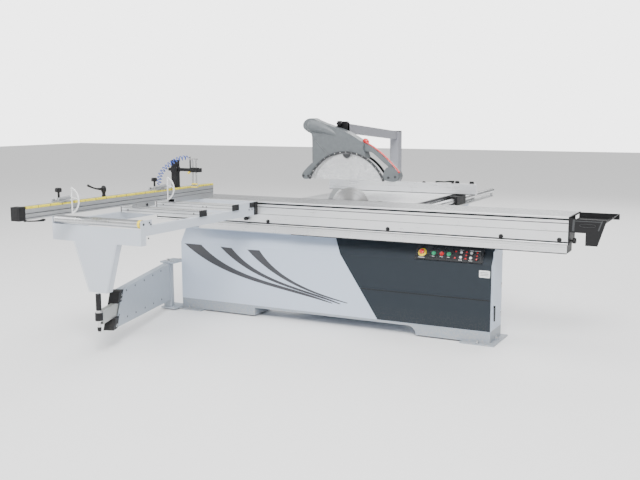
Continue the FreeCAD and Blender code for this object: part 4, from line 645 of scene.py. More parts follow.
# ---------------------------------------------------------------- blade guard
def build_hood():
    """Moulded hood: body, arm and lobes with rounded outlines, a swelling duct, and the arch's rim."""
    under = arc(ARCH, 332, 141, 60, 28)
    top = [(196, 1290), (204, 1326), (160, 1352), (96, 1388), (26, 1420), (-60, 1448), (-176, 1484),
           (-226, 1511), (-276, 1500), (-306, 1466), (-300, 1430), (-262, 1404), (-228, 1392),
           (-226, 1330), (-225, 1250), (-224, 1168), (-210, 1152)]
    body = slab(np.concatenate([eased(top), under]), "y", 141, 229)
    run = np.linspace(0, 1, 26)
    path = np.stack([-282 + 350 * run, 160 + 8 * run, 1459 - 132 * run + 26 * np.sin(np.pi * run)], axis=1)
    swell = np.where(run < 0.14, 51 * np.sqrt(np.clip(1 - (1 - run / 0.14) ** 2, 0.01, 1)),
                     51 - 43 * np.clip((run - 0.14) / 0.86, 0, 1) ** 1.4)
    back = path * [1, 0, 1] + np.array([0, 1, 0]) * (370 - path[:, 1:2])
    crease = swept([(-212, 140.5, 1352), (-172, 139.5, 1318), (-118, 139, 1262), (-92, 140, 1236)],
                   [2, 4, 4, 2], 10)
    arm = slab(softened([(178, 1330), (204, 1326), (250, 1308), (300, 1272), (384, 1208), (456, 1144),
                         (482, 1096), (474, 1062), (440, 1050), (396, 1056), (352, 1066), (344, 1092),
                         (362, 1126), (396, 1156), (352, 1186), (298, 1232), (258, 1262), (222, 1264),
                         (184, 1270)], 2, 0.2), "y", 158, 206)
    lobe = slab(softened([(-212, 1186), (-250, 1158), (-306, 1104), (-322, 1074), (-304, 1050), (-276, 1048),
                          (-244, 1058), (-236, 1096), (-204, 1150), (-176, 1186)], 2, 0.2), "y", 146, 224)
    foot = slab(softened([(352, 1066), (352, 1100), (376, 1150), (410, 1160), (456, 1140), (480, 1096),
                          (470, 1060), (438, 1049), (396, 1052)], 2, 0.2), "y", 144, 226)
    put("hood_shell", [body, swept(path, swell, 32), swept(back, swell, 32), crease, arm, lobe, foot],
        hood_plastic, "guard_hood", bevel=6, stands_for=("hood",))
    rim = np.concatenate([arc(ARCH, 338, 22, 158, 90), arc(ARCH, 321, 158, 22, 90)])
    put("hood_rim", [slab(rim, "y", 137.5, 149), slab(rim, "y", 221, 232.5)], rim_plastic_and_shade, "guard_hood",
        bevel=1.2)
    heads = []
    for angle in np.radians(np.linspace(26, 154, 17)):
        x, z = ARCH[0] + 330 * math.cos(angle), ARCH[1] + 330 * math.sin(angle)
        heads += [dome(3.6, -2.2, (x, 137.6, z), "y", 10), dome(3.6, 2.2, (x, 232.4, z), "y", 10)]
    put("rim_screws", heads, column_steel, "guard_hood")
    heads = []
    for x, z in ((-302, 1074), (-262, 1074), (398, 1080), (450, 1086)):
        heads += [socket_screw(9, 5, (x, 145, z), "y", -1), socket_screw(9, 5, (x, 225, z), "y", 1)]
    rest = arc((66, 1245), 31, 180, 360, 24)
    heads += [slab(rest, "y", 133, 141), slab(rest, "y", 229, 236)]
    put("hood_bolts", heads, rim_plastic_and_shade, "guard_hood", bevel=1.5)
    run = np.linspace(0, 1, 14)
    edge = np.stack([206 + 268 * run, 168 + 0 * run, 1333 - 216 * run + 25 * np.sin(np.pi * run)], axis=1)
    cap = swept([(178, 182, 1344), (186, 182, 1345), (200, 182, 1341), (214, 182, 1332), (222, 182, 1324)],
                [6, 16, 20, 16, 6], 24)
    put("hood_red_trim", [swept(edge, 5.5, 16, flat=2.2), cap], red_cap, "guard_hood")


def build_guard_arm():
    """Clamp block, its lobed knob and the post's cap."""
    head = slab(softened([(-62, 1396), (29, 1396), (29, 1474), (16, 1484), (-44, 1484), (-62, 1470)],
                         1, 0.15), "y", 229.6, 263)
    put("guard_clamp_block", [head], black_plastic_and_shadow, "base", bevel=3)
    put("guard_clamp_knob", [turned([(9, 0), (9, -12), (12, -14), (12, -16)], (-30, 229.6, 1466), "y"),
                             knob(22, 34, (-30, 226, 1468), "y", 6, 0.16, -1)],
        black_plastic_and_shadow, "base", bevel=0.8)
    put("post_cap", [slab(softened([(-184, 1549), (-102, 1549), (-102, 1631), (-184, 1631)], 1, 0.08),
                          "z", 1381, 1387)], black_plastic_and_shadow, "base", bevel=1.5)


# ---------------------------------------------------------------- carriage
def build_carriage_trim():
    """The carriage's moulded front: lip, slot, grooved face and bead, carried along its length; black strips
    paint the shade in the slot, the grooves and under the bead, and dark strips paint the shade between the
    top's ribs.
    """
    lip = slab([(-189.5, 888.6), (-193.6, 888.6), (-193.6, 898), (-191.6, 900), (-189.5, 900)],
               "x", *CARRIAGE_SPAN)
    face = slab([(-189.5, 877.4), (-193.6, 877.4), (-193.6, 861), (-190.8, 860), (-190.8, 856),
                 (-193.6, 855), (-194.2, 744), (-190.8, 740), (-190.8, 733), (-195.5, 728.5),
                 (-196.5, 724.5), (-195.5, 721), (-189.5, 720.4)], "x", *CARRIAGE_SPAN)
    put("carriage_front", [lip, face], carriage_metal, "carriage", bevel=0.5)
    # Painted shade: a black lining in the slot, and black strips in the face's grooves and under its bead,
    # stand for the shade there.
    slot_shadow_lining = [(-191, 888.4), (-180.4, 888.4), (-180.4, 877.6), (-193, 877.6), (-193, 878.8), (-181.6, 878.8),
              (-181.6, 887.2), (-191, 887.2)]
    lines = [slab(slot_shadow_lining, "x", *RIB_SPAN)]
    for low, high, out in ((855.6, 859.8, -191.8), (804, 806.5, -194.2), (733.4, 740.6, -192.4),
                           (722.6, 725.4, -197)):
        lines.append(block(GROOVE_SPAN, (out, out + 1.6), (low, high)))
    put("carriage_groove_shadows", lines, black_coat_and_shade, "carriage", bevel=0.15)
    ribs = [slab([(y, 899.7), (y + 1, 900.5), (y + 9, 900.5), (y + 10, 899.7)], "x", *RIB_SPAN)
            for y in np.arange(-186, 150, 17.5)]
    put("carriage_ribs", ribs, carriage_metal, "carriage")
    # Painted shade: dark strips between the top's ribs stand for the shade in the gaps.
    dark = [block(GROOVE_SPAN, (y, y + 3.5), (899.6, 900.15)) for y in np.arange(-173.5, 150, 17.5)]
    put("carriage_rib_gap_shade", dark, rim_plastic_and_shade, "carriage")
    spots = (-420, 539, 1334, 1708)
    plugs = [dome(11, -4, (x, -194.2, 752), "y", 28) for x in spots]
    plugs += [ring([(15, 0.2), (15, -1.6), (12.4, -2.4), (11, 0.2)], (x, -194.1, 752), "y") for x in spots]
    put("carriage_plugs", plugs, black_plastic_and_shadow, "carriage")
    frame_edge = slab(softened([(-190.5, 728), (-190.5, 900), (-19, 900), (-19, 728)], 1, 0.03),
                      "x", 1766, 1769)
    screws = [socket_screw(5, 3, (1769, y, z), "x") for y in (-176, -34) for z in (738, 872)]
    put("end_plate_face", [frame_edge, *screws], black_plastic_and_shadow, "carriage", bevel=0.8)
    grip = softened([(1829, 841), (1829, 859), (1923, 859), (1923, 841)], 2)
    lip = softened([(1827, 839), (1827, 861), (1925, 861), (1925, 839)], 2)
    rings = np.zeros((4, len(grip), 3))
    for spot, (loop, y) in enumerate(((lip, -190), (lip, -192.5), (grip, -192.5), (grip, -190))):
        rings[spot, :, 0], rings[spot, :, 1], rings[spot, :, 2] = loop[:, 0], y, loop[:, 1]
    put("tray_grip_rim", [skin(rings, caps=False)], rim_plastic_and_shade, "carriage", bevel=0.2)
    folds = [slab([(1786, 886), (1800, 886), (1796, 812), (1782, 812)], "y", -191, -190),
             slab([(1960, 886), (1968, 886), (1946, 820), (1938, 822)], "y", -191, -190),
             block((1795, 1965), (-191.6, -190), (874, 879))]
    put("tray_folds", folds, rim_plastic_and_shade, "carriage", bevel=0.4)
    rolled = swept([(1769, -190, 887), (1850, -190, 887), (1920, -190, 887), (1988, -190, 887)], 2.2, 12,
                   up=(0, 0, 1))
    edge = swept([(1992, -188, 889), (2004, -100, 895), (2014, 0, 898.5), (2017, 112, 899.5)], 2.2, 12,
                 up=(0, 0, 1))
    put("tray_rolled_rim", [rolled, edge], black_coat_and_shade, "carriage")
    grip = turned([(6.2, 0), (6.2, 14), (15, 15), (17.6, 18), (18.4, 26), (17.6, 33), (14, 35), (0.4, 35.6)],
                  (1766, -140, 745), "x")
    put("lock_knob_grip", [knob(18.6, 19, (1783, -140, 745), "x", 8, 0.14), grip], black_plastic_and_shadow,
        "lock_knob", bevel=0.6, stands_for=("locking_knob",))


def build_outrigger_trim():
    """The outrigger's caps, screws, ribs, painted groove shade, roller ring and hubs, clamp knob and the
    leg's folds.
    """
    caps = []
    for low in PLANKS:
        for x in ((-516, -507), (-1185, -1176)):
            caps.append(block(x, (low - 0.7, low + 80.7), (857.4, 900.3)))
    caps.append(block((-519, -508.5), (-231, -189.6), (799.4, 897.6)))
    caps.append(block((-519, -513), (-293, -232), (858.4, 896.4)))
    put("outrigger_end_caps", caps, black_plastic_and_shadow, "carriage", bevel=2)
    heads = [dome(5, -3, (x, -530, 879), "y", 16) for x in (-765, -735, -1120)]
    heads += [dome(5, -3, (x, -930, 879), "y", 16) for x in (-560, -1120)]
    heads += [socket_screw(5.5, 4, (-518, y, z), "x") for y, z in ((-1455, 880), (-1442, 868), (-1470, 784))]
    heads += [socket_screw(7.5, 3, (-518, *ROLLER[1:]), "x")]
    heads += [socket_screw(5, 3, (-518, y, z), "x") for y, z in ((-300, 845), (-260, 845))]
    put("outrigger_screws", heads, rim_plastic_and_shade, "carriage")
    ribs = []
    for low in PLANKS:
        for y in np.arange(low + 4, low + 74, 12.5):
            ribs.append(slab([(y, 899.7), (y + 1, 900.6), (y + 7, 900.6), (y + 8, 899.7)], "x", *PLANK_SPAN))
        for z in (866, 882):
            ribs.append(slab([(low - 1, z), (low + 0.3, z - 1.4), (low + 0.3, z + 1.4)], "x", *PLANK_SPAN))
    put("plank_ribs", ribs, plank_metal, "carriage")
    # Painted shade: black strips between the planks' ribs and in their side grooves stand for the shade
    # there.
    dark = [block(PLANK_SPAN, (y, y + 3.5), (899.6, 900.15)) for low in PLANKS
            for y in np.arange(low + 12.5, low + 74, 12.5)]
    dark += [block(PLANK_SPAN, (low - 0.6, low + 0.4), (z, z + 2.6)) for low in PLANKS for z in (872, 892)]
    put("plank_groove_shade", dark, black_coat_and_shade, "carriage", bevel=0.1)
    band = ring([(24, -549), (27, -548), (27, -529), (24, -528)], ROLLER, "x", 48)
    put("roller_ring", [band], yellow_plastic, "roller", bevel=0.5)
    hubs = [ring([(6.2, x), (22, x), (22, x + side * 3.5), (6.2, x + side * 3.5)], ROLLER, "x", 40)
            for x, side in ((-527, 1), (-1226, -1))]
    put("roller_hubs", hubs, black_plastic_and_shadow, "roller", bevel=0.5)
    under = [turned([(6, 0), (6, -22), (8, -24)], (-600, -212, 800), "z"),
             knob(19, 22, (-600, -212, 777), "z", 6, 0.16, -1)]
    put("outrigger_clamp_knob", under, black_plastic_and_shadow, "carriage", bevel=0.6)
    seam = [slab([(-1062, 742), (-950, 423), (-944, 423), (-1056, 742)], "y", -1540.6, -1539.8),
            slab([(-707, 742), (-799, 423), (-805, 423), (-713, 742)], "y", -1540.6, -1539.8)]
    put("leg_folds", seam, sheet_coat, "carriage", bevel=0.3)


# ---------------------------------------------------------------- crosscut fence
def build_fence_trim():
    """Grooved side with dark strips painting the shade in its grooves and top slot, scale, end cap, stop
    carriers, levers and their knobs.
    """
    side = [(-993.3, 1003.4), (-990.8, 1003.4), (-990.8, 972), (-992.6, 970.5), (-992.6, 962.5),
            (-990.8, 961), (-990.8, 947), (-992.6, 945.5), (-992.6, 938), (-990.8, 936.5),
            (-990.8, 930), (-993.3, 930)]
    put("fence_side", [slab(side, "y", *FENCE_SPAN)], fence_metal, "fence", bevel=0.4)
    # Painted shade: dark strips in the side's grooves and along the top slot stand for the shade there.
    lines = [block((-992.7, -991.6), (-1999.4, -62.6), span) for span in ((963, 967), (938.5, 941))]
    lines.append(block((-1030, -1019), (-1999, -63), (1003.6, 1004.4)))
    put("fence_groove_shade", lines, rim_plastic_and_shade, "fence", bevel=0.15)
    far = slab([(-1052.7, 1003.4), (-1055.2, 1003.4), (-1055.2, 974), (-1053.6, 972), (-1053.6, 962),
                (-1055.2, 960), (-1055.2, 930), (-1052.7, 930)], "y", *FENCE_SPAN)
    put("fence_far_side", [far], fence_metal, "fence", bevel=0.4)
    scale = slab([(-1012, 1004.2), (-1012, 1006.2), (-1009, 1007), (-992, 1007), (-989.4, 1005),
                  (-989.4, 994), (-991, 993), (-991, 1004.2)], "y", -1998, -64)
    put("fence_scale", [scale], scale_yellow, "fence", bevel=0.3)
    put("fence_inner_cap", [block((-1052.8, -993.2), (-62.2, -59), (929, 1003.6))], black_plastic_and_shadow, "fence",
        bevel=1)
    cap = [block((-1056.5, -989.5), (-2050.4, -1999.9), (925.5, 1007.5)),
           block((-1046, -1000), (-2051.2, -2049), (936, 997))]
    put("fence_end_cap", cap, black_plastic_and_shadow, "extension", bevel=2.5)
    path = [(-1010, -1988, 922), (-1006, -1960, 918), (-1000, -1925, 915), (-993, -1890, 914),
            (-988, -1865, 916), (-985, -1850, 917)]
    put("extension_lock_lever", [swept(path, [5, 4.5, 4.5, 5.5, 9, 5], 16, flat=0.7),
                                 turned([(9, 0), (9, -10), (6, -13)], (-1012, -1985, 929), "z")],
        black_plastic_and_shadow, "fence", bevel=0.5)
    shoe = slab(softened([(-988, 901.4), (-788, 901.4), (-788, 928.6), (-988, 928.6)], 1, 0.05),
                "x", -1034, -992)
    put("fence_mount_shoe", [shoe], fence_metal, "fence", bevel=1)
    eye = ring([(5, 0.2), (11, 0.2), (11, 1.6), (9.6, 2.4), (6.4, 2.4)], (-992, -878, 915), "x", 28)
    put("mount_shoe_eye", [eye, turned([(5.2, 0.2), (5.2, 1.2), (0.3, 1.2)], (-992, -878, 915), "x", 24)],
        black_plastic_and_shadow, "fence")
    carriers, knobs = [], []
    for y, reach in ((-1620, 72), (-650, 100)):
        outline = softened([(-1060, 1004.6), (-986, 1004.6), (-986, 1016), (-992, 1019), (-1054, 1019),
                            (-1060, 1016)], 1, 0.12)
        carriers.append(slab(outline, "y", y - reach - 26, y - reach + 26))
        carriers.append(slab(outline * [1, 0.6] + [0, 402], "y", y - reach, y - 5))
        carriers.append(swept([(-1008, y - reach - 24, 1026), (-1006, y - reach + 8, 1028),
                               (-1001, y - 28, 1030), (-1000, y - 5, 1030)], [9, 11, 11, 13], 24))
        carriers.append(turned([(0.4, -24), (6.5, -24), (6.5, -19), (4, -18), (4, 5), (6, 6), (6, 9),
                                (0.4, 9)], (-1000, y, 1030), "y"))
        carriers.append(turned([(0.4, -12), (7, -12), (7, 4), (0.4, 4)],
                               (-1040, y - reach - 24, 1022), "y", 6))
        knobs.append(turned([(12, 0), (12, 4), (8, 8), (7, 16), (7, 46), (13, 56)],
                            (-1023, y - reach, 1019), "z"))
        knobs.append(knob(22, 27, (-1023, y - reach, 1068), "z", 5, 0.2))
    put("stop_carriers", carriers, fence_metal, "fence", bevel=0.8, stands_for=("stop_blocks",))
    put("stop_knobs", knobs, black_plastic_and_shadow, "fence", bevel=0.8)
    for name, y, body in (("outer_stop_rim", -1620, "stop_outer"), ("inner_stop_rim", -650, "stop_inner")):
        bow = arc((-1011.3, 1012), 84.5, -72, 72, 40)
        bow = np.stack([bow[:, 0], np.full(40, float(y)), bow[:, 1]], axis=1)
        chord = np.array([(-986.5, y, 933), (-986.5, y, 980), (-986.5, y, 1040), (-986.5, y, 1090)], float)
        spoke = np.array([(-986, y, 1030), (-965, y, 1028), (-945, y, 1024), (-932, y, 1018)], float)
        hub = turned([(0.4, -4), (9, -4), (10, -3), (10, 3), (9, 4), (0.4, 4)], (-1000, y, 1030), "y", 28)
        put(name, [swept(bow, 3.6, 12, flat=1.1), swept(chord, 4, 12), swept(spoke, 3.4, 12), hub],
            white_plastic, body)
    hub = turned([(12, 0), (13, 2), (13, 10), (11, 14), (11, 26), (15, 32), (17, 42), (17, 58), (13, 68),
                  (6, 73), (0.4, 74)], (-1023, -1283, 1004.4), "z", 32)
    run = np.linspace(0, 1, 18)
    bow = np.sin(np.pi * run)
    path = np.stack([np.full(18, -1023.0), -1292 - 140 * run, 1056 + 34 * run - 8 * bow], axis=1)
    handle = swept(path, 11 - 4 * bow - 3 * run, 20, up=(1, 0, 0), flat=0.8)
    put("index_handle", [hub, handle], black_plastic_and_shadow, "lever", bevel=0.6,
        stands_for=("index_lever",))


def build_clamp_trim():
    """Column cap and collar, arm end, foot pad and the valve's fittings."""
    parts = [slab(softened([(-1023 - half, -500 - half), (-1023 + half, -500 - half),
                            (-1023 + half, -500 + half), (-1023 - half, -500 + half)], 1, 0.1), "z", *span)
             for half, span in ((23, (1200, 1208)), (27, (1120, 1158)), (29, (1004.5, 1012)))]
    parts += [block((-806, -796), (-513, -487), (1124, 1154)),
              block((-884, -822), (-514, -486), (1122, 1156))]
    put("clamp_collars", parts, black_plastic_and_shadow, "fence", bevel=2)
    screws = [knob(12, 16, (-1068, -500, 1139), "x", 6, 0.14, -1)]
    screws += [socket_screw(4, 3, (x, -513, 1139), "y", -1) for x in (-1035, -1011)]
    put("clamp_screws", screws, black_plastic_and_shadow, "fence", bevel=0.5)
    pad = [block((-879, -827), (-511, -489), (1011.6, 1020)), block((-877, -829), (-508, -492), (1020, 1042))]
    put("clamp_pad", pad, yellow_plastic, "clamp", bevel=2)
    put("clamp_button", [dome(9, -9, (-896, -512, 1118), "y", 20),
                         turned([(7, 0), (7, -12), (0.3, -13)], (-896, -500, 1128), "z")],
        yellow_plastic, "fence", bevel=0.4)
    fittings = [turned([(5.6, 0), (8, 1), (8, 14), (5, 16), (5, 24), (0.3, 24.6)],
                       (-890, -500, 1210), "z", 24),
                turned([(10, 0), (10, 9), (8, 11), (8, 18)], (-1085, -618, 1010), "z", 6)]
    put("air_fittings", fittings, column_steel, "fence", bevel=0.3)


# ---------------------------------------------------------------- swing arm
TURN = math.radians(70.6)
ARM_AXES = [(math.cos(TURN), -math.sin(TURN), 0), (math.sin(TURN), math.cos(TURN), 0), (0, 0, 1)]
HINGE = (-1350, -190, 0)


def build_arm_trim():
    """Rivets along the arm, screws of its end bracket, weld beads, and the head's sleeves."""
    rivets = []
    for side in (1, -1):
        spots = [(s, 352) for s in (260, 450, 640, 830, 1000)] + [(1085, 330), (1150, 215), (1178, 165)]
        spots += [(s, 96 + (s - 32) * 0.052 + 22) for s in (260, 450, 640, 830, 1000)]
        rivets += [dome(7.5, side * 3, (s, side * 25, z), "y", 16) for s, z in spots]
    put("arm_rivets", [moved(part, ARM_AXES, HINGE) for part in rivets], rim_plastic_and_shade, "swing_arm")
    screws = []
    for side in (1, -1):
        for s, z in ((1120, 346), (1134, 320), (1222, 166), (1236, 158)):
            screws.append(socket_screw(6.5, 4, (s, side * 35, z), "y", side))
    put("bracket_screws", [moved(part, ARM_AXES, HINGE) for part in screws], bar_steel, "swing_arm")
    sleeves = [turned([(14.2, 308), (17.5, 310), (17.5, 414), (15, 416.8)], (1431, 0, 0), "z", 32),
               turned([(24.4, 242), (25.2, 246), (25.2, 291), (24.4, 295)], (1431, 0, 0), "z", 36),
               turned([(10.2, 200), (13, 198), (13, 180), (9, 170), (9, 166)], (1431, 0, 0), "z", 28)]
    put("head_sleeves", [moved(part, ARM_AXES, HINGE) for part in sleeves], black_plastic_and_shadow, "telescope",
        bevel=0.6)
    nuts = [turned([(19, 388), (19, 390.5), (14, 390.5), (14, 402), (12, 404), (0.4, 404)], HINGE, "z", 6)]
    nuts += [socket_screw(8, 6, (x, y, 388), "z") for x in (-1285, -1305) for y in (-90, -215)]
    put("hinge_nuts", nuts, bar_steel, "base", bevel=0.6)
    beads = [swept([(33, t, 25), (33, t, 135), (33, t, 255), (33, t, 373)], 2.5, 10) for t in (-24, 24)]
    put("arm_weld_beads", [moved(part, ARM_AXES, HINGE) for part in beads], sheet_coat, "swing_arm")


# ---------------------------------------------------------------- base and panel
STRIPES = [
    [(-1228, 528), (-868, 270), (-420, 262), (80, 168), (-1068, 527), (-762, 270), (-340, 288), (80, 174)],
    [(-890, 524), (-605, 275), (-215, 252), (135, 170), (-785, 520), (-540, 272), (-160, 268), (150, 174)],
    [(-645, 518), (-415, 308), (-110, 222), (200, 182), (-535, 520), (-370, 300), (-55, 234), (205, 187)],
]


def cubic(corners, run):
    """A cubic curve from its four control points."""
    a, b, c, d = (np.asarray(corner, float) for corner in corners)
    t = run[:, None]
    return a * (1 - t) ** 3 + 3 * b * t * (1 - t) ** 2 + 3 * c * t ** 2 * (1 - t) + d * t ** 3


def build_fascia_trim():
    """Painted stripes, blank rating plate, dark sheet's crease with a painted shadow strip below it, a
    painted shadow strip under the rail, door hinges, anchor bolts, rail beads.
    """
    run = np.linspace(0, 1, 60)
    bands = []
    for corners in STRIPES:
        low, high = cubic(corners[:4], run), cubic(corners[4:], run)
        rings = np.zeros((60, 4, 3))
        for spot, (edge, y) in enumerate(((low, -132), (high, -132), (high, -132.4), (low, -132.4))):
            rings[:, spot, 0], rings[:, spot, 2], rings[:, spot, 1] = edge[:, 0], edge[:, 1], y
        bands.append(skin(rings))
    put("fascia_stripes", bands, stripe_paint, "base")
    plate = softened([(1176, 457), (1250, 457), (1250, 505), (1176, 505)], 2, 0.06)
    put("rating_plate", [slab(plate, "y", -133, -131.8)], white_plastic, "base", bevel=0.2)
    lines = [block((1184, 1242), (-133.4, -132.9), (z, z + 3)) for z in (490, 480, 470)]
    put("rating_lines", lines, stripe_paint, "base", bevel=0.1)
    crease = slab([(-131.8, 322), (-134.6, 314), (-134.6, 312), (-131.8, 305)], "x", 306, 1259)
    put("fascia_crease", [crease], dark_coat, "base", bevel=0.8)
    # Painted shadow: black strips below the crease and in the gap under the rail.
    shadow = [slab([(-131.9, 305), (-132.5, 305), (-132.5, 300), (-131.9, 300)], "x", 312, 1259),
              block((-230, 1754), (-185.9, -176), (662, 668))]
    put("crease_and_rail_shadow_strips", shadow, black_coat_and_shade, "base", bevel=0.1)
    knuckles = [turned([(0.4, 0), (4, 0), (4.6, 1), (4.6, 39), (4, 40), (0.4, 40)], (1261.5, 105, z), "z", 20)
                for z in (150, 350, 550)]
    knuckles += [block((1260.2, 1262), (107, 126), (z + 2, z + 38)) for z in (150, 350, 550)]
    put("door_hinges", knuckles, bar_steel, "base", bevel=0.4)
    bolts = []
    for x in (-1180, 1180):
        for y in (-150, 150):
            bolts.append(turned([(13, 10), (13, 12.5), (0.3, 12.5)], (x, y, 0), "z", 28))
            bolts.append(turned([(11, 12.5), (11, 19.5), (9.5, 21), (0.3, 21)], (x, y, 0), "z", 6))
            bolts.append(turned([(6, 21), (6, 30), (5, 31), (0.3, 31)], (x, y, 0), "z", 20))
    put("anchor_bolts", bolts, bar_steel, "base", bevel=0.4)
    end = slab(softened([(-186.5, 667.5), (-186.5, 719.2), (-50, 719.2), (-50, 667.5)], 1, 0.04),
               "x", 1755, 1758.5)
    put("rail_end_cap", [end], black_plastic_and_shadow, "base", bevel=0.6)
    rail_lines = [slab([(-186, 706), (-187.6, 706), (-188.2, 701), (-187.6, 696), (-186, 696)],
                       "x", -1044, 1754),
                  slab([(-186, 684), (-187.4, 684), (-187.4, 671), (-186, 671)], "x", -1044, 1754)]
    put("rail_beads", rail_lines, rail_metal, "base", bevel=0.5)


LEAN = math.atan(70 / 103)
PANEL_AXES = [(1, 0, 0), (0, math.sin(LEAN), math.cos(LEAN)), (0, -math.cos(LEAN), math.sin(LEAN))]


def on_panel(part, x, along):
    """A part drawn lying flat, set on the leaning panel's face."""
    origin = (x, -132 + along * math.sin(LEAN), 540 + along * math.cos(LEAN))
    return moved(part, PANEL_AXES, origin)


def build_panel_trim():
    """Bezels, lamps, key symbols, the stop button's yellow collar and its domed head."""
    rings = []
    for name, look, slot, at in (("green_key_flanges", green_cap, "green", (845, 953)),
                                 ("red_key_flange", red_cap, "red", (903,))):
        flange = ring([(9.7, 7.8), (9.7, 10.8), (13.6, 10.8), (15.2, 9.6), (15.2, 7.8)], (0, 0, 0), "z", 40)
        put(name, [on_panel(flange, x, 60) for x in at], look, "base")
    bezel = ring([(9.6, 7.8), (9.6, 10), (10.4, 10.8), (12, 10.4), (12.8, 7.8)], (0, 0, 0), "z", 36)
    for x, along in ((1040, 78), (1040, 42), (1110, 78), (1110, 42)):
        rings.append(on_panel(bezel, x, along))
    put("key_bezels", rings, rim_plastic_and_shade, "base")
    collar = ring([(6.6, 7.8), (6.6, 13.6), (20, 13.8), (23.8, 13), (25.4, 11), (26.6, 9.4), (30, 9),
                   (30, 7.8)], (0, 0, 0), "z", 48)
    put("stop_collar", [on_panel(collar, *STOP_PLACE)], yellow_plastic, "base", bevel=0.3)
    head = turned([(5.9, 9.4), (5.9, 19.2), (15, 19.2), (17.6, 20.4), (18, 23), (17.4, 27), (14.6, 30.6),
                   (9, 32.6), (0.3, 33)], (0, 0, 0), "z", 48)
    put("stop_mushroom", [on_panel(head, *STOP_PLACE)], red_cap, "stop_button",
        stands_for=("emergency_stop_button",))
    lamps, marks = [], []
    for x in (1000, 1075, 1150):
        for along in (84, 60, 36):
            if (x, along) != (1000, 60):
                lamps.append(on_panel(dome(6.2, 3, (0, 0, 8), "z", 20), x, along))
    for x, along, wide in ((845, 36, 20), (903, 36, 20), (953, 36, 20), (762, 22, 44), (1150, 96, 40),
                           (1040, 96, 26), (1110, 96, 26), (1040, 22, 26), (1110, 22, 26)):
        marks.append(on_panel(block((-wide / 2, wide / 2), (-1.4, 1.4), (7.6, 8.25)), x, along))
    put("panel_lamps", lamps, red_cap, "base")
    put("panel_marks", marks, white_plastic, "base")
    edge = np.array([(-240, -52), (240, -52), (240, 52), (-240, 52)], float)
    outer, inner = softened(edge, 1, 0.04), softened(edge * 0.985, 1, 0.04)
    rings = np.zeros((4, len(outer), 3))
    for spot, (loop, height) in enumerate(((outer, 7.6), (outer, 9.2), (inner, 9.2), (inner, 7.6))):
        rings[spot, :, :2], rings[spot, :, 2] = loop, height
    put("panel_border", [on_panel(skin(rings, caps=False), 955, 60)], panel_film, "base",
        bevel=0.4)


# ---------------------------------------------------------------- saw unit and tables
def toothed(radius, teeth, thickness, centre):
    """A saw blade: its rim's radius falls into a gullet after each tooth's tip."""
    turn = np.linspace(0, 2 * np.pi, teeth, endpoint=False)
    shape = np.array([(0.0, 1.0), (0.26, 0.992), (0.30, 0.972), (0.55, 0.956), (0.80, 0.962),
                      (0.98, 0.985)])
    angle = (turn[:, None] + shape[None, :, 0] * 2 * np.pi / teeth).ravel()
    reach = radius * np.tile(shape[:, 1], teeth)
    outline = np.stack([centre[0] + reach * np.cos(angle), centre[2] + reach * np.sin(angle)], axis=1)
    return slab(outline, "y", centre[1] - thickness / 2, centre[1] + thickness / 2)


def build_saw():
    """Toothed blades, carbide tips, rings turned in the blade's face, and motor fins."""
    tips = []
    for angle in np.linspace(0, 2 * np.pi, 60, endpoint=False):
        x, z = BLADE[0] + 154.6 * math.cos(angle), BLADE[2] + 154.6 * math.sin(angle)
        ahead = [(math.cos(angle), 0, math.sin(angle)), (0, 1, 0), (-math.sin(angle), 0, math.cos(angle))]
        tips.append(moved(block((-2.6, 2.6), (-1.6, 1.6), (0, 1.6)), ahead, (x, BLADE[1], z)))
    put("toothed_blade", [toothed(156.6, 60, 2.4, BLADE)], blade_steel, "arbor",
        stands_for=("main_blade",))
    put("blade_tips", tips, carbide, "arbor")
    rings = [ring([(r, -1.1), (r, -1.26), (r + 0.8, -1.5), (r + 1.6, -1.26), (r + 1.6, -1.1)],
                  BLADE, "y", 72) for r in (60, 110, 135)]
    put("blade_rings", rings, bar_steel, "arbor")
    put("scoring_teeth", [toothed(60, 24, 3, SCORER)], blade_steel, "scoring_unit")
    fins = [turned([(75.2, y), (79, y + 0.5), (79, y + 2.5), (75.2, y + 3)], (300, 0, 630), "y", 40)
            for y in range(316, 470, 11)]
    put("motor_fins", fins, motor_paint, "height_unit")


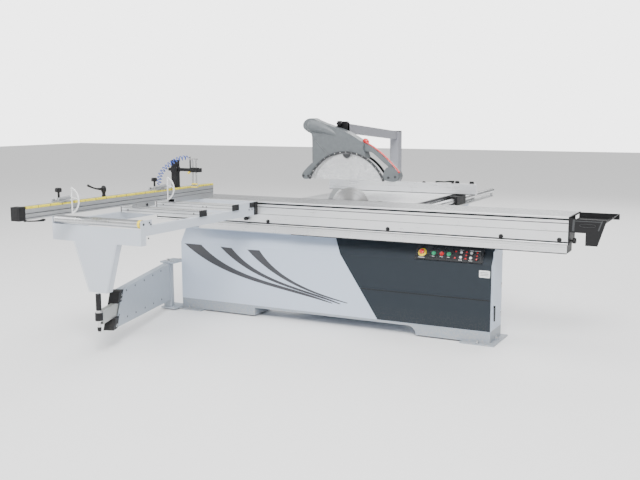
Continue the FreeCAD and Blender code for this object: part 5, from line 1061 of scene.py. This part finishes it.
def build_rip_trim():
    """The rip fence's knobs, lever, lines, a black strip painting the shadow along its foot, and caps, its
    carrier's collar, bar ends and scale.
    """
    lever = [(600, 974, 999), (572, 974, 1000), (540, 973, 996), (505, 972, 997), (478, 971, 996),
             (462, 971, 994)]
    parts = [dome(15, 11, (360, 975, 985), "z", 28),
             turned([(9, 0), (9, 8), (12, 9), (14, 16), (12, 22), (0.3, 23)], (604, 975, 985), "z", 24),
             swept(lever, [8, 6, 5, 5, 6, 7], 16, flat=0.8)]
    put("rip_fence_knobs", parts, black_plastic_and_shadow, "rip_profile", bevel=0.4)
    lines = [block(RIP_SPAN, (953.9, 955.2), (z, z + 4)) for z in (917, 932, 962)]
    put("rip_fence_lines", lines, rip_metal, "rip_profile", bevel=0.4)
    # Painted shadow: a black strip along the fence's bottom edge stands for the shadow line over the table.
    foot = block(RIP_SPAN, (954.2, 957), (901.7, 905.5))
    put("rip_fence_shadow_strip", [foot], black_plastic_and_shadow, "rip_profile", bevel=0.3)
    ends = [block((x, x + 3), (954.6, 994.6), (901.2, 985.4)) for x in (-492.5, 799.5)]
    ends.append(slab([(799, 985), (803, 985), (803, 1012), (800, 1020), (794, 1020), (797, 1010)],
                     "y", 956, 962))
    put("rip_fence_caps", ends, rip_metal, "rip_profile", bevel=0.8)
    knobs = [knob(18.5, 27, (x, 1011.3, 977), "z", 6, 0.14) for x in (630, 750)]
    put("rip_clamp_knobs", knobs, black_plastic_and_shadow, "rip_carrier", bevel=0.8)
    bar = GUIDE_BAR[::2]
    collar = np.concatenate([arc(bar, 36, -50, 230), arc(bar, 21.2, 230, -50)])
    put("rip_carrier_shell", [slab(collar, "y", 824, 831)], black_plastic_and_shadow, "rip_carrier",
        bevel=0.8)
    rings = [ring([(12, y), (18.6, y), (19.6, y + 1), (19.6, y + 3), (12, y + 3)], GUIDE_BAR, "y", 40)
             for y in (173, 1899)]
    put("guide_bar_ends", rings, black_plastic_and_shadow, "base")
    put("rip_scale", [block((607, 611), (175, 1530), (880, 896))], rim_plastic_and_shade, "base", bevel=0.4)


def build_cabinet_trim():
    """Louvres, two access covers, their screws and the insert's, the spigot's bead, and dark strips painting
    the shade in the table's grooves.
    """
    slats = []
    for x in (-220, 330):
        for z in range(520, 700, 18):
            slats.append(slab([(760, z), (768, z + 1), (768, z + 3), (760, z + 11)], "x", x, x + 170))
    put("cabinet_louvres", slats, light_coat, "base", bevel=0.6)
    cover = softened([(200, 200), (700, 200), (700, 620), (200, 620)], 1, 0.03)
    put("access_covers", [slab(cover, "x", -324, -320), slab(cover, "x", 590, 594)], light_coat, "base",
        bevel=1.5)
    screws = []
    for y in (225, 675):
        for z in (225, 595):
            screws += [socket_screw(6, 3, (-324, y, z), "x", -1), socket_screw(6, 3, (594, y, z), "x", 1)]
    screws += [dome(4, 0.8, (x, 212, 899.6), "z", 16) for x in (-140, 30, 220, 385)]
    put("cabinet_screws", screws, bar_steel, "base")
    bead = ring([(59.8, 826), (62.4, 827), (62.8, 830), (62.4, 833), (59.8, 834)], (135, 0, 250), "y", 48)
    put("spigot_bead", [bead], light_coat, "base")
    # Painted shade: dark strips on the table top stand for the shade in its grooves.
    groove_shade_strips = [block((-332, 606), (799.2, 800.8), (899.6, 900.25))]
    groove_shade_strips += [block((-332, 606), (y, y + 1.2), (899.6, 900.2)) for y in range(300, 780, 60)]
    put("table_groove_shade", groove_shade_strips, rim_plastic_and_shade, "base", bevel=0.1)


for build in (build_hood, build_guard_arm, build_carriage_trim, build_outrigger_trim, build_fence_trim,
              build_clamp_trim, build_arm_trim, build_fascia_trim, build_panel_trim, build_saw,
              build_rip_trim, build_cabinet_trim):
    build()


# ---------------------------------------------------------------- stage, light and camera
def build_stage():
    """Pale floor, four soft lights, a broad sun, the pale room and the camera."""
    floor = bpy.data.objects.new("floor", bpy.data.meshes.new("floor"))
    floor.data.from_pydata([(-30, -30, 0), (30, -30, 0), (30, 30, 0), (-30, 30, 0)], [], [(0, 1, 2, 3)])
    floor.data.materials.append(finish("Pale floor", POWDER, Colour=(0.86, 0.86, 0.86, 1), Roughness=0.6,
                                       Drift=0.02, Dust=0.0, Peel=0.02))
    bpy.context.scene.collection.objects.link(floor)
    for name, at, size, power in (("key", (3.0, -6.5, 6.5), 3.0, 900), ("fill", (-6.5, -4.0, 3.5), 4.0, 260),
                                  ("back", (0.0, 7.0, 6.0), 6.0, 420), ("top", (0.0, 0.0, 7.0), 6.0, 200)):
        light = bpy.data.objects.new(name, bpy.data.lights.new(name, "AREA"))
        light.data.energy = power
        light.data.size = size
        light.location = at
        aim = np.array([0.0, 0.0, 0.8]) - at
        light.rotation_euler = (math.pi - math.acos(aim[2] / np.linalg.norm(aim)), 0,
                                math.atan2(aim[1], aim[0]) - math.pi / 2)
        bpy.context.scene.collection.objects.link(light)
    sun = bpy.data.objects.new("sky", bpy.data.lights.new("sky", "SUN"))
    sun.data.energy = 2.2
    sun.data.angle = 1.4
    sun.rotation_euler = (math.radians(22), math.radians(12), 0)
    bpy.context.scene.collection.objects.link(sun)
    world = bpy.data.worlds.new("Pale room")
    bpy.context.scene.world = world
    world.use_nodes = True
    tree = world.node_tree
    seen = add(tree, "LightPath").outputs["Is Camera Ray"]
    tree.links.new(between(tree, seen, 0.0, 1.0, 0.5, 4.0), tree.nodes["Background"].inputs[1])
    tree.nodes["Background"].inputs[0].default_value = (1, 1, 1, 1)
    camera = bpy.data.objects.new("camera", bpy.data.cameras.new("camera"))
    camera.location = (2.8698, -5.7109, 1.546)
    camera.rotation_euler = (math.radians(90 - 8.28), math.radians(0.14), math.radians(27.36))
    camera.data.lens = 49.1
    camera.data.sensor_width = 36
    bpy.context.scene.collection.objects.link(camera)
    bpy.context.scene.camera = camera


build_stage()
